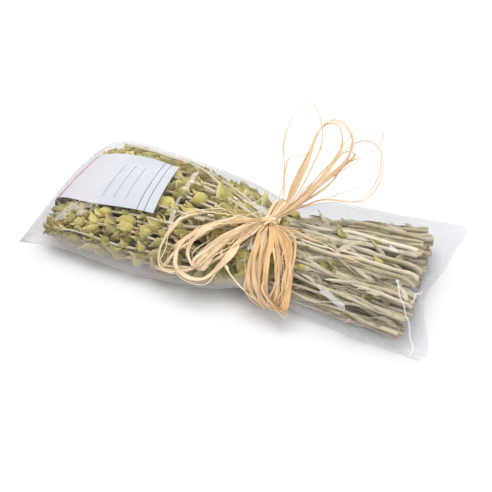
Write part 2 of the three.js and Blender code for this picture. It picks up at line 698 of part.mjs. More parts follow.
// The raffia tie: strips wound round the waist outside the film, drawn as one ridged band.
function raffiaBand() {
  const strips = RIDGES.map(([x, lift]) => {
    const ring = filmRing(TIE_X + x, FILM_ACROSS, 0);
    const middle = ring.reduce((sum, p) => sum.add(p), new THREE.Vector3()).divideScalar(ring.length);
    return ring.map((p) => {
      const outward = p.clone().sub(middle).setX(0).normalize();
      return p.clone().setX(TIE_X + x).addScaledVector(outward, BAND_SLACK + lift);
    });
  });
  return closedLoop(strips[0].map((_, i) => strips.map((strip) => strip[i])));
}

// A ring-shaped solid: the last cross section joins the first.
function closedLoop(rings) {
  const n = rings[0].length;
  const faces = [];
  rings.forEach((_, i) => {
    const next = (i + 1) % rings.length;
    for (let j = 0; j < n; j++) {
      const k = (j + 1) % n;
      faces.push([i * n + j, i * n + k, next * n + j], [i * n + k, next * n + k, next * n + j]);
    }
  });
  return solidFrom(rings.flat(), faces);
}

// A flat strip along a route, broad side out, turning as it goes.
function strip({ width, twist, route }, steps) {
  const curve = new THREE.CatmullRomCurve3(route.map((p) => new THREE.Vector3(...p)));
  const points = curve.getSpacedPoints(steps);
  const rings = points.map((p, i) => {
    const onward = points[Math.min(i + 1, steps)].clone().sub(points[Math.max(i - 1, 0)]).normalize();
    const out = new THREE.Vector3(0, p.y - KNOT.y, p.z - WAIST_Z);
    const across = new THREE.Vector3().crossVectors(onward, out).normalize();
    across.applyAxisAngle(onward, twist * Math.cos((Math.PI * i) / steps));
    const thick = new THREE.Vector3().crossVectors(across, onward).multiplyScalar(RIBBON / 2);
    across.multiplyScalar((width / 2) * (i === 0 || i === steps ? RIBBON_END : 1));
    return [
      p.clone().add(across).add(thick),
      p.clone().sub(across).add(thick),
      p.clone().sub(across).sub(thick),
      p.clone().add(across).sub(thick),
    ];
  });
  return skin(rings);
}

function raffiaBow() {
  const knot = new THREE.IcosahedronGeometry(1, 1);
  knot.scale(KNOT.long, KNOT.wide, KNOT.high).translate(KNOT.x, KNOT.y, KNOT.z);
  const centre = [KNOT.x, KNOT.y, KNOT.z];
  const loops = LOOPS.map((loop) => strip({ ...loop, route: [centre, ...loop.route, centre] }, LOOP_STEPS));
  const tails = TAILS.map((tail) => strip({ ...tail, route: [centre, ...tail.route] }, TAIL_STEPS));
  return largestBody(union([solidOf(knot), ...loops, ...tails]));
}

const bunch = new THREE.Group();
bunch.add(meshOf("bag_film", filmBag(), MATERIALS.film));
bunch.add(meshOf("label_card", foldedCard(), MATERIALS.card));
bunch.add(meshOf("raffia_band", raffiaBand(), MATERIALS.raffia));
bunch.add(meshOf("raffia_bow", raffiaBow(), MATERIALS.raffia));
for (const seat of SEATS) {
  const number = String(seat.k + 1).padStart(2, "0");
  bunch.add(meshOf(`sprig_${number}_spike`, flowerSpike(seat), MATERIALS.bract));
  bunch.add(meshOf(`sprig_${number}_stalk`, leafyStalk(seat), MATERIALS.stalk));
}

LOOSE.forEach((bit, i) => bunch.add(meshOf(`loose_bract_${i + 1}`, looseBract(bit), MATERIALS.bract)));

export default bunch;
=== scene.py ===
"""Looks of a dried mountain tea bunch: sprigs in a clear film bag, a folded card and a raffia tie."""

import collections
import functools
import json
import math

import bmesh
import bpy
import numpy as np
from mathutils import Color, Matrix, Vector, noise

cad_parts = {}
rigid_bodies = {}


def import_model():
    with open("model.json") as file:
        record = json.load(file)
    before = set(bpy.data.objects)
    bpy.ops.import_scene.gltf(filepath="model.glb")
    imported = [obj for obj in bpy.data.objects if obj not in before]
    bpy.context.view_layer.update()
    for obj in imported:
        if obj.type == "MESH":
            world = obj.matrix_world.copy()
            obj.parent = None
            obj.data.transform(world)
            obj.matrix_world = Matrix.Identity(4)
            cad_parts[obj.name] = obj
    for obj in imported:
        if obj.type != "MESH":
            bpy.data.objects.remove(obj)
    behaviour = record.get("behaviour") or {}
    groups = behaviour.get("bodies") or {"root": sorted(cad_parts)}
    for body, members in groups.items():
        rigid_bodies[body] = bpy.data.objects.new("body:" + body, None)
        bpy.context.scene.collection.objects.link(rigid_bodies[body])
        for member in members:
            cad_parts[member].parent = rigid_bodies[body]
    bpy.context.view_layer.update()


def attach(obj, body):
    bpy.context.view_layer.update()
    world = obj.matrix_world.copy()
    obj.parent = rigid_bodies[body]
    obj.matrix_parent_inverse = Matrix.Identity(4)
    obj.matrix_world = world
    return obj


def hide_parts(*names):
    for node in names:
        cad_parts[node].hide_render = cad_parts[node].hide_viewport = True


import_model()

bl_info = {
    "name": "Dried Mountain Tea Bunch",
    "version": (1, 0, 0),
    "blender": (4, 5, 0),
    "location": "3D View > Sidebar > Tea Bunch",
    "description": "Builds a film bag of dried tea sprigs with a paper card and a raffia bow",
    "category": "Object",
}

MM = 0.001
BODY = "root"

# Shape of the bag and the bunch, in millimetres, as the solids have it.
FILM_WALL = 0.6
TOP_ROUND = {"power": 2.6, "swell": 0.7}
BOTTOM_ROUND = {"power": 2.6, "swell": 0.8, "press": 1.21}
CREASE_SHARE = 0.985  # heights are read this close to a side crease at most
HEIGHT_PASSES = 4  # passes that find the station under a plan point
SEAL_X = -150.5
MOUTH_X = 163.0
SEAL = {"skew": 12.5, "bow": 6.0, "blend": 45.0}
MOUTH = {"dip": 10.0, "middle": -0.15, "spread": 0.38, "blend": 45.0}
TIE_X = 26.0
WAIST_Z = 18.0  # height of the bunch's middle at the tie
KNOT = {"centre": (26.0, -13.0, 50.0), "long": 6.5, "wide": 5.0, "high": 4.2}
SPRIG_ROWS = (6, 7, 6, 5)
STALK_WIDTH = 3.0
SPIKE_WIDTH = 1.9
BRACT_REACH = 8.0
BRACT_LENGTH = 12.0
BRACT_STEP = {"first": 9.0, "growth": 1.36, "most": 21.0, "foot": 5.0, "stray": 0.8}
TIP_ROOM = 10.0  # from a sprig's tip to its first bracts
BRACT_GROWTH = {"length": 0.9, "least": 1.0, "reach": 0.55, "narrowest": 1.5}
LEAF_LENGTH = 42.0
LEAF_REACH = 4.4
TIP_X = {"longest": -152.5, "skew": 7.5, "crown": 24.0, "level": 0.45, "stray": 3.0}
CUT = {"x": 145.0, "stray": 2.5}  # the stalks are cut here
SPLIT = {"x": -24.0, "stray": 3.0}  # where the flower spike passes into the leafy stalk
DRAW_IN = {"share": 0.33, "start": 20.0, "end": 70.0}  # how much narrower the top row is near the tie
SWAY = {"wide": 0.9, "slow": 0.04, "narrow": 0.5, "quick": 0.09}  # sprigs wander sideways
WAVE = {"share": 0.05, "slow": 0.05}  # and up and down
PHASE = 6.0  # spread of the sprigs' phases, in radians
TURN = 3.0  # and of their turn about themselves
LEAFY = {"start": -40.0, "end": 0.0}  # leaves need less room than bracts from here on
FLAT_END = {"x": -150.0, "until": -125.0, "spare": 2.0}  # bracts are pressed closer near the seal
LEAST_ROOM = 2.0
ROOM_STEP = 0.3
GAP = 0.3  # left between pieces that touch
SLACK = 1.7  # between the film and the plants
BAND_SLACK = 0.7  # from the film to the raffia
CARD = {"width": 56.6, "fold": 83.4, "thick": 0.6, "start_x": -61.2, "start_y": -2.8}
CARD_BEND = {"lean": 1.0, "slant": 0.1, "taper": 6.85, "drift": 9.25, "corner": 3.2, "corner_end": 0.35}
CARD_SLACK = 2.2  # from the film to the card
CARD_ROOM = 3.2  # under the upper film and over the lower one
CARD_END = {"start": -58.0, "end": -40.0}  # where the card's room gives way
FOLD_ROOM = {"before": 5.5, "beside": 1.4}  # tips end this far before the card's fold, or lie this far out

# A bract's rows (share of its length, radius, half its span in degrees, height) and the kinds of it
# (how far it flares, closes, ruffles and leans), in units of its own size.
BRACT_ROWS = (
    (0, 0.2, 80, 0.0),
    (0.25, 0.85, 90, 0.2),
    (0.55, 1.0, 78, 0.54),
    (0.8, 0.96, 34, 0.86),
    (1, 1.1, 0, 1.3),
)
BRACT_KINDS = (
    (0.2, 0.1, 0.08, 0.0),
    (0.45, 0.0, 0.16, 0.2),
    (0.05, 0.25, 0.06, -0.2),
    (0.6, -0.1, 0.2, 0.1),
    (0.35, 0.15, 0.12, -0.3),
    (-0.1, 0.05, 0.22, 0.35),
)
BRACTS = len(BRACT_KINDS)
# Bracts that broke off and lie in the bag's margins.
LOOSE = (
    {"x": -52, "y": -56, "heading": 0.2, "reach": 4.5, "length": 10},
    {"x": 101, "y": 40, "heading": 2.95, "reach": 5, "length": 13},
    {"x": 118, "y": 44, "heading": 3.6, "reach": 4.5, "length": 12},
)

# The bunch at its stations along X: half its width, and the place of its middle across the bag.
BUNCH_COLUMNS = ("half", "y")
BUNCH = {
    -158: (38, -2),
    -120: (50, 3.5),
    -70: (50, 0),
    -20: (47, -2.5),
    26: (36, -10),
    75: (47, -6),
    145: (51, -8),
}
# The bag at its stations: place and height of each side crease, and heights of the two films.
BAG_COLUMNS = ("near", "near_z", "far", "far_z", "top", "bottom")
BAG = {
    -150.5: (-65, 20, 83, 10, 16.5, 15),
    -143: (-62, 18, 80, 12, 30, 6),
    -128: (-57.5, 16, 75, 14, 46, 1),
    -105: (-59, 13, 70, 16, 55, 0),
    -70: (-63, 12, 64, 17, 57, 0),
    -30: (-63.5, 13, 58.5, 18, 52, 0),
    -5: (-62.5, 15, 52.5, 20.5, 47.5, 1),
    14: (-59.5, 20, 44.5, 22.5, 43.5, 3),
    26: (-58, 22, 36.5, 22.5, 42.5, 3.2),
    38: (-59, 20, 40, 22, 42.5, 3),
    58: (-63, 14, 53, 18, 43, 0),
    90: (-71, 12, 57, 17, 42, 0),
    118: (-77, 12, 58, 17, 41, 0),
    140: (-80, 12, 61, 16, 40, 0.6),
    150: (-81.5, 12, 63, 16, 36, 2.5),
    163: (-83, 12, 65, 16, 19, 14),
}

# Raffia strips: width, twist at the knot (radians) and the route, in millimetres.
FLOWER_LOOPS = (
    (1.0, 0.7, ((16, -6, 49), (-4, -22, 52), (-20, -38, 47), (-36, -52, 38), (-44, -60, 27), (-50, -61, 24),
                (-28, -62, 25), (0, -48, 40), (12, -30, 46))),
    (1.6, 0.9, ((13, -8, 48), (-14, -15, 53), (-39, -33.5, 52.8), (-48, -51.5, 39.8), (-46, -61.5, 25.8),
                (-31, -60.5, 25.8), (-8, -54.5, 34.8), (13, -33, 45))),
    (4.2, 0.4, ((14, -13, 48), (-8, -23, 50), (-31, -44.5, 44.8), (-35, -56.5, 32.8), (-27, -63.5, 22.8),
                (-11, -63.5, 24.8), (3, -51.5, 37.8), (14, -25, 47))),
    (3.2, -0.7, ((12, -17, 48), (-3, -38.5, 48.8), (-19, -54.5, 36.8), (-13, -58.5, 30.8), (-5, -46.5, 42.8),
                 (12, -21, 48))),
    (2.4, 0.8, ((13, -15, 50), (-17, -37.5, 50.8), (-27, -51.5, 39.8), (-19, -58.5, 30.8), (-8, -49.5, 41.8),
                (14, -20, 50))),
)
NEAR_LOOPS = (
    (1.8, -0.4, ((22, -24, 48), (22, -41, 43), (22, -53, 36), (25, -62, 26), (31, -64, 17), (43, -66, 15),
                 (47, -62, 26), (40, -42, 44))),
    (1.4, 0.7, ((46, -20, 49), (53, -35, 45), (54, -50, 38), (54, -61, 27), (49, -67, 19), (44, -66, 18),
                (46, -50, 38), (42, -26, 48))),
    (2.6, 0.5, ((24, -35, 46), (25, -50, 39), (32, -63, 29), (42, -67, 16), (55, -68, 19),
                (53, -56, 32), (49, -33, 46))),
    (4.4, 0.2, ((33, -31, 47), (36, -52, 38), (41, -66, 26), (53, -70, 17), (57, -67, 24),
                (52, -45, 41), (40, -26, 48))),
    (2.2, -0.6, ((28, -36, 47), (31, -53, 37), (37, -65, 22), (44, -67, 13), (50, -66, 22),
                 (44, -52, 38), (37, -30, 48))),
)
RAISED_LOOPS = (
    (1.0, 0.2, ((39, -1, 60), (55, 13, 76), (70, 33, 99), (79, 43, 111), (97, 46, 114), (97, 37, 103),
                (87, 31, 97), (65, 17, 80), (45, 0, 61))),
    (1.1, -0.5, ((36, -2, 58), (42, 13, 75), (49, 22, 86), (54, 31, 97), (38, 24, 89), (30, 22, 86),
                 (30, 6, 70), (30, -4, 57))),
    (1.4, 0.5, ((34, -3, 62), (30, 12, 82), (25, 28, 102), (30, 43, 121), (40, 46, 126),
                (52, 35, 111), (52, 20, 92), (40, -1, 62))),
    (2.6, 1.1, ((35, -4, 57), (41, 18, 80), (48, 40, 104), (61, 47, 112), (74, 40, 104),
                (74, 29, 92), (61, 15, 76), (42, -2, 60))),
    (1.8, 0.6, ((37, -2, 63), (46, 16, 90), (52, 31, 115), (66, 33, 118), (70, 25, 105),
                (62, 13, 86), (45, 0, 65))),
    (2.8, 1.2, ((37, -3, 55), (55, 17, 74), (70, 35, 91), (79, 35, 92), (74, 28, 87),
                (55, 13, 73), (40, -4, 57))),
    (1.5, 0.4, ((39, 0, 58), (60, 31, 80), (80, 49, 94), (96, 45, 91), (99, 30, 79),
                (90, 15, 68), (64, 9, 62), (43, -1, 57))),
)
TAILS = (
    (2.2, 0.9, ((8, -25, 48), (-2, -41, 44), (2, -52, 36), (14, -60, 28), (31, -66, 19),
                (39, -67, 11))),
    (1.2, 0.5, ((44, -16, 49), (65, -20, 48), (92, -29, 47), (113, -35, 45))),
    (1.3, 0.3, ((40, -2, 57), (62, 8, 65), (88, 20, 75))),
)


def vary(k, n):
    """A repeatable value from -1 to 1 for sprig k and use n."""
    wave = math.sin(k * 12.9898 + n * 78.233) * 43758.5453
    return 2 * (wave - math.floor(wave)) - 1


def chance(k, n):
    """A repeatable value from 0 to 1."""
    return 0.5 + 0.5 * vary(k, n)


def mix(a, b, t):
    """The value t of the way from a to b."""
    return a + (b - a) * t


def smooth_step(start, end, value):
    """0 at the start, 1 at the end, smooth between."""
    t = min(1.0, max(0.0, (value - start) / (end - start)))
    return t * t * (3 - 2 * t)


class Profile:
    """Columns of a table as smooth curves through its rows, kept at half-millimetre steps."""

    STEP = 0.5

    def __init__(self, rows, columns):
        xs = list(rows)
        self.start, self.end = xs[0], xs[-1]
        count = int((self.end - self.start) / self.STEP) + 2
        self.columns = {}
        for c, name in enumerate(columns):
            knots = [(x, rows[x][c]) for x in xs]
            self.columns[name] = [self._curve(knots, self.start + i * self.STEP) for i in range(count)]

    @staticmethod
    def _curve(knots, x):
        last = len(knots) - 1
        if x >= knots[last][0]:
            return knots[last][1]
        i = 0
        while knots[i + 1][0] < x:
            i += 1

        def slope(j):
            (xa, ya), (xb, yb) = knots[max(0, j - 1)], knots[min(last, j + 1)]
            return (yb - ya) / (xb - xa)

        (xa, ya), (xb, yb) = knots[i], knots[i + 1]
        span = xb - xa
        t = (x - xa) / span
        return (
            (2 * t**3 - 3 * t**2 + 1) * ya
            + (t**3 - 2 * t**2 + t) * span * slope(i)
            + (3 * t**2 - 2 * t**3) * yb
            + (t**3 - t**2) * span * slope(i + 1)
        )

    def at(self, name, x):
        """The named column's value at x."""
        column = self.columns[name]
        place = min(max((x - self.start) / self.STEP, 0.0), len(column) - 1.001)
        i = int(place)
        return column[i] + (column[i + 1] - column[i]) * (place - i)


bag = Profile(BAG, BAG_COLUMNS)
bunch = Profile(BUNCH, BUNCH_COLUMNS)


def end_slant(x, u):
    """How far the bag's ends stray along it; u is -1 at the near crease and 1 at the far one."""
    sealed = 1 - smooth_step(SEAL_X, SEAL_X + SEAL["blend"], x)
    mouth = smooth_step(MOUTH_X - MOUTH["blend"], MOUTH_X, x)
    dip = MOUTH["dip"] * math.exp(-(((u - MOUTH["middle"]) / MOUTH["spread"]) ** 2))
    return sealed * (SEAL["skew"] * u - SEAL["bow"] * (1 - u * u)) - mouth * dip


def film_point(x, u, upper, inset=0.0):
    """A point of the upper or the lower film at station x and share u across it."""
    near, far = bag.at("near", x), bag.at("far", x)
    half = (far - near) / 2 - 2 * inset
    crease = mix(bag.at("near_z", x), bag.at("far_z", x), (u + 1) / 2)
    edge = abs(u)
    if upper:
        rise = (1 - edge ** TOP_ROUND["power"]) ** TOP_ROUND["swell"]
        z = crease + (bag.at("top", x) - inset - crease) * rise
    else:
        fall = BOTTOM_ROUND["press"] * (1 - edge ** BOTTOM_ROUND["power"]) ** BOTTOM_ROUND["swell"]
        z = crease + (max(0.0, bag.at("bottom", x)) + inset - crease) * min(1.0, fall)
    return (x + end_slant(x, u), (near + far) / 2 + half * u, z)


def film_height(x, y, upper, inset=0.0):
    """The film's height over the plan point (x, y)."""
    station, u = x, 0.0
    for _ in range(HEIGHT_PASSES):
        near, far = bag.at("near", station), bag.at("far", station)
        u = min(CREASE_SHARE, max(-CREASE_SHARE, (2 * y - near - far) / (far - near - 4 * inset)))
        station = x - end_slant(station, u)
    return film_point(station, u, upper, inset)[2]


def sprig_seats():
    """Each sprig's place in the bunch: -1 to 1 across it and 0 to 1 up it."""
    seats = []
    for row, count in enumerate(SPRIG_ROWS):
        level = row / (len(SPRIG_ROWS) - 1)
        spread = 1 / (max(SPRIG_ROWS) - 1)
        for i in range(count):
            seats.append({"side": (2 * i - count + 1) * spread, "level": level, "k": len(seats)})
    return seats


SEATS = sprig_seats()


def lining(x):
    """What the film and the card take of the height inside, on each side."""
    return FILM_WALL + mix(CARD_ROOM, SLACK, smooth_step(CARD_END["start"], CARD_END["end"], x))


def sprig_point(seat, x):
    """Where a sprig's middle runs at x, the same share of the bunch's width and height all along."""
    k = seat["k"]
    sway = SWAY["wide"] * math.sin(x * SWAY["slow"] + PHASE * vary(k, 1))
    sway += SWAY["narrow"] * math.sin(x * SWAY["quick"] + PHASE * vary(k, 20))
    at_tie = 1 - smooth_step(DRAW_IN["start"], DRAW_IN["end"], abs(x - TIE_X))
    drawn_in = 1 - DRAW_IN["share"] * seat["level"] * at_tie
    y = bunch.at("y", x) + seat["side"] * drawn_in * bunch.at("half", x) + sway
    reach = mix(BRACT_REACH, LEAF_REACH, smooth_step(LEAFY["start"], LEAFY["end"], x))
    reach -= FLAT_END["spare"] * (1 - smooth_step(FLAT_END["x"], FLAT_END["until"], x))
    low = film_height(x, y, False) + lining(x) + reach
    high = film_height(x, y, True) - lining(x) - reach
    level = seat["level"] + WAVE["share"] * math.sin(x * WAVE["slow"] + PHASE * vary(k, 21))
    return Vector((x, y, mix(low, high, min(1.0, max(0.0, level)))))


def room(seat, x):
    """How far a sprig may reach out at x without touching its neighbours or the film."""
    place, wall = sprig_point(seat, x), lining(x)
    nearest = min((sprig_point(other, x) - place).length for other in SEATS if other["k"] != seat["k"])
    radius = min(BRACT_REACH, nearest / 2 - GAP)
    turns = [i * math.pi / 6 for i in range(12)]
    while radius > LEAST_ROOM:
        spots = [(place.y + radius * math.cos(t), place.z + radius * math.sin(t)) for t in turns]
        if all(film_height(x, y, False) + wall <= z <= film_height(x, y, True) - wall for y, z in spots):
            break
        radius -= ROOM_STEP
    return radius


def fold_x(u):
    """Where the card folds, from u = -1 at its near edge to 1 at its far one."""
    return CARD["start_x"] + CARD_BEND["lean"] * u - CARD["fold"] * (1 - CARD_BEND["slant"] * u)


def tip_of(seat):
    """Where a sprig ends; those that the card is folded round end short of its fold."""
    crown = TIP_X["crown"] * (seat["level"] - TIP_X["level"]) ** 2
    free = TIP_X["longest"] + TIP_X["skew"] * (seat["side"] + 1) + crown + TIP_X["stray"] * vary(seat["k"], 3)
    from_middle = sprig_point(seat, free).y - CARD["start_y"] - CARD_BEND["drift"]
    u = from_middle / (CARD["width"] / 2 - CARD_BEND["taper"])
    if abs(u) > FOLD_ROOM["beside"]:
        return free
    return max(free, fold_x(min(1.0, u)) + FOLD_ROOM["before"])


def split_of(seat):
    """Where a sprig's flower spike meets its leafy stalk."""
    return SPLIT["x"] + SPLIT["stray"] * vary(seat["k"], 6)


# Mesh helpers


def add_object(name, data=None):
    """A new object in the scene, at the origin."""
    thing = bpy.data.objects.new(name, data)
    bpy.context.scene.collection.objects.link(thing)
    return thing


def set_attributes(mesh, columns):
    """Named values at the mesh's points: flags, whole numbers, numbers or vectors."""
    for name, values in columns.items():
        values = np.asarray(values)
        vector = values.ndim == 2
        kind = "FLOAT_VECTOR" if vector else {"b": "BOOLEAN", "i": "INT"}.get(values.dtype.kind, "FLOAT")
        layer = mesh.attributes.new(name, kind, "POINT")
        layer.data.foreach_set("vector" if vector else "value", values.ravel().tolist())


def mesh_object(name, points, faces, attributes=None):
    """A new smooth object of points in millimetres."""
    mesh = bpy.data.meshes.new(name)
    mesh.from_pydata([tuple(c * MM for c in p) for p in points], [], faces)
    set_attributes(mesh, attributes or {})
    mesh.shade_smooth()
    mesh.update()
    return add_object(name, mesh)


def line_object(name, points, edges, attributes):
    """A new object of lines for a tree to grow on, with its points in millimetres."""
    mesh = bpy.data.meshes.new(name)
    mesh.from_pydata([p * MM for p in points], edges, [])
    set_attributes(mesh, attributes)
    return add_object(name, mesh)


def thin_sheet(rows, columns, place, wall):
    """Points and faces of a closed thin sheet: place(i, j, depth) with depth 0 outside, 1 inside."""
    points, faces = [], []
    for depth in (0, 1):
        points += [place(i, j, depth * wall) for i in range(rows) for j in range(columns)]
    size = rows * columns

    def spot(i, j, depth):
        return depth * size + i * columns + j

    for i in range(rows - 1):
        for j in range(columns - 1):
            faces.append((spot(i, j, 0), spot(i, j + 1, 0), spot(i + 1, j + 1, 0), spot(i + 1, j, 0)))
            faces.append((spot(i, j, 1), spot(i + 1, j, 1), spot(i + 1, j + 1, 1), spot(i, j + 1, 1)))
    row, column = rows - 1, columns - 1
    for i in range(row):
        faces.append((spot(i, 0, 0), spot(i + 1, 0, 0), spot(i + 1, 0, 1), spot(i, 0, 1)))
        faces.append((spot(i, column, 0), spot(i, column, 1), spot(i + 1, column, 1), spot(i + 1, column, 0)))
    for j in range(column):
        faces.append((spot(0, j, 0), spot(0, j, 1), spot(0, j + 1, 1), spot(0, j + 1, 0)))
        faces.append((spot(row, j, 0), spot(row, j + 1, 0), spot(row, j + 1, 1), spot(row, j, 1)))
    return points, faces


def finish_piece(piece, node):
    """Ties a piece to its body and the CAD node that it stands for."""
    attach(piece, BODY)
    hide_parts(node)


def recalculate(piece, crisp=math.radians(55)):
    """Turns a closed mesh's faces outwards and keeps its borders crisp."""
    shell = bmesh.new()
    shell.from_mesh(piece.data)
    bmesh.ops.recalc_face_normals(shell, faces=shell.faces)
    shell.to_mesh(piece.data)
    shell.free()
    piece.data.set_sharp_from_angle(angle=crisp)


# Geometry Nodes


class Tree:
    """A geometry node tree with named inputs, built by short calls."""

    def __init__(self, name):
        self.group = bpy.data.node_groups.new(name, "GeometryNodeTree")
        self.group.interface.new_socket("Geometry", in_out="OUTPUT", socket_type="NodeSocketGeometry")
        self.group.interface.new_socket("Geometry", in_out="INPUT", socket_type="NodeSocketGeometry")
        self.source = self.group.nodes.new("NodeGroupInput")
        self.result = self.group.nodes.new("NodeGroupOutput")

    def input(self, name, kind):
        self.group.interface.new_socket(name, in_out="INPUT", socket_type=kind)
        return self.source.outputs[name]

    def node(self, kind, settings=None, **values):
        node = self.group.nodes.new(kind)
        for key, value in (settings or {}).items():
            setattr(node, key, value)
        for key, value in values.items():
            socket = node.inputs[key.replace("_", " ")]
            if isinstance(value, bpy.types.NodeSocket):
                self.group.links.new(value, socket)
            else:
                socket.default_value = value
        return node

    def attribute(self, name, kind="FLOAT"):
        node = self.node("GeometryNodeInputNamedAttribute", {"data_type": kind}, Name=name)
        return node.outputs["Attribute"]

    def sweep(self, mesh, outline, across=None):
        """The outline swept along the mesh's edges at their own girth, turned to the across directions."""
        line = self.node("GeometryNodeMeshToCurve", Mesh=mesh).outputs["Curve"]
        if across:
            line = self.node(
                "GeometryNodeSetCurveNormal", {"mode": "FREE"}, Curve=line, Normal=across
            ).outputs["Curve"]
        girth = self.attribute("girth")
        swept = self.node(
            "GeometryNodeCurveToMesh", Curve=line, Profile_Curve=outline, Scale=girth, Fill_Caps=True
        )
        return swept.outputs["Mesh"]

    def close(self, geometry, material):
        """Ends the tree in plain, smooth and painted meshes."""
        realized = self.node("GeometryNodeRealizeInstances", Geometry=geometry).outputs["Geometry"]
        smooth = self.node("GeometryNodeSetShadeSmooth", Geometry=realized).outputs["Geometry"]
        painted = self.node("GeometryNodeSetMaterial", Geometry=smooth, Material=material)
        self.group.links.new(painted.outputs["Geometry"], self.result.inputs["Geometry"])
        return self.group


def grow(host, group, **inputs):
    """Runs a tree on a host object and returns a plain object of the result."""
    modifier = host.modifiers.new("growth", "NODES")
    modifier.node_group = group
    names = {s.name: s.identifier for s in group.interface.items_tree if s.in_out == "INPUT"}
    for key, value in inputs.items():
        modifier[names[key]] = value
    view = bpy.context.evaluated_depsgraph_get()
    mesh = bpy.data.meshes.new_from_object(host.evaluated_get(view))
    host.modifiers.remove(modifier)
    name = host.name
    bpy.data.objects.remove(host)
    mesh.name = name
    return add_object(name, mesh)


def shoot_tree():
    """Stems swept along the host's edges, and kit pieces set on its loose points."""
    tree = Tree("tea shoot")
    kit = tree.input("Kit", "NodeSocketCollection")
    material = tree.input("Material", "NodeSocketMaterial")
    split = tree.node(
        "GeometryNodeSeparateGeometry",
        {"domain": "POINT"},
        Geometry=tree.source.outputs["Geometry"],
        Selection=tree.attribute("is_stem", "BOOLEAN"),
    )
    square = tree.node("GeometryNodeCurvePrimitiveQuadrilateral", Width=1.86, Height=1.86).outputs["Curve"]
    rounded = tree.node("GeometryNodeFilletCurve", {"mode": "POLY"}, Curve=square, Radius=0.4, Count=1)
    stems = tree.sweep(split.outputs["Selection"], rounded.outputs["Curve"])
    children = tree.node(
        "GeometryNodeCollectionInfo", Collection=kit, Separate_Children=True, Reset_Children=True
    )
    placed = tree.node(
        "GeometryNodeInstanceOnPoints",
        Points=split.outputs["Inverted"],
        Instance=children.outputs["Instances"],
        Pick_Instance=True,
        Instance_Index=tree.attribute("kind", "INT"),
        Rotation=tree.attribute("aim", "FLOAT_VECTOR"),
        Scale=tree.attribute("size", "FLOAT_VECTOR"),
    )
    both = tree.node("GeometryNodeJoinGeometry")
    tree.group.links.new(stems, both.inputs["Geometry"])
    tree.group.links.new(placed.outputs["Instances"], both.inputs["Geometry"])
    return tree.close(both.outputs["Geometry"], material)


def strip_tree():
    """Flat strips swept along the host's edges, turned by its own across directions."""
    tree = Tree("raffia strip")
    outline = tree.input("Outline", "NodeSocketObject")
    material = tree.input("Material", "NodeSocketMaterial")
    shape = tree.node("GeometryNodeObjectInfo", Object=outline).outputs["Geometry"]
    profile = tree.node("GeometryNodeMeshToCurve", Mesh=shape).outputs["Curve"]
    across = tree.attribute("across", "FLOAT_VECTOR")
    return tree.close(tree.sweep(tree.source.outputs["Geometry"], profile, across), material)


# Materials


class Value:
    """A shader socket that can be used in Python expressions."""

    def __init__(self, shader, socket):
        self.shader = shader
        self.socket = socket

    def _math(self, operation, *others, clamp=False):
        node = self.shader.tree.nodes.new("ShaderNodeMath")
        node.operation = operation
        node.use_clamp = clamp
        for socket, value in zip(node.inputs, (self, *others)):
            self.shader.feed(socket, value)
        return Value(self.shader, node.outputs[0])

    def __add__(self, other):
        return self._math("ADD", other)

    __radd__ = __add__

    def __sub__(self, other):
        return self._math("SUBTRACT", other)

    def __rsub__(self, other):
        return (self * -1.0)._math("ADD", other)

    def __mul__(self, other):
        return self._math("MULTIPLY", other)

    __rmul__ = __mul__

    def __pow__(self, other):
        return self._math("POWER", other)

    def __abs__(self):
        return self._math("ABSOLUTE")

    def less(self, other):
        """1 where the value is under the other one, 0 elsewhere."""
        return self._math("LESS_THAN", other)

    def clamped(self):
        return self._math("MULTIPLY", 1.0, clamp=True)

    def waves(self):
        """From 0.5 at each whole number down to 0 halfway to the next one and up again."""
        return abs(self._math("FRACT") - 0.5)

    def ramp(self, low, high):
        """0 at low, 1 at high, smooth between."""
        node = self.shader.node(
            "ShaderNodeMapRange",
            {"interpolation_type": "SMOOTHSTEP", "clamp": True},
            Value=self,
            From_Min=low,
            From_Max=high,
        )
        return Value(self.shader, node.outputs["Result"])


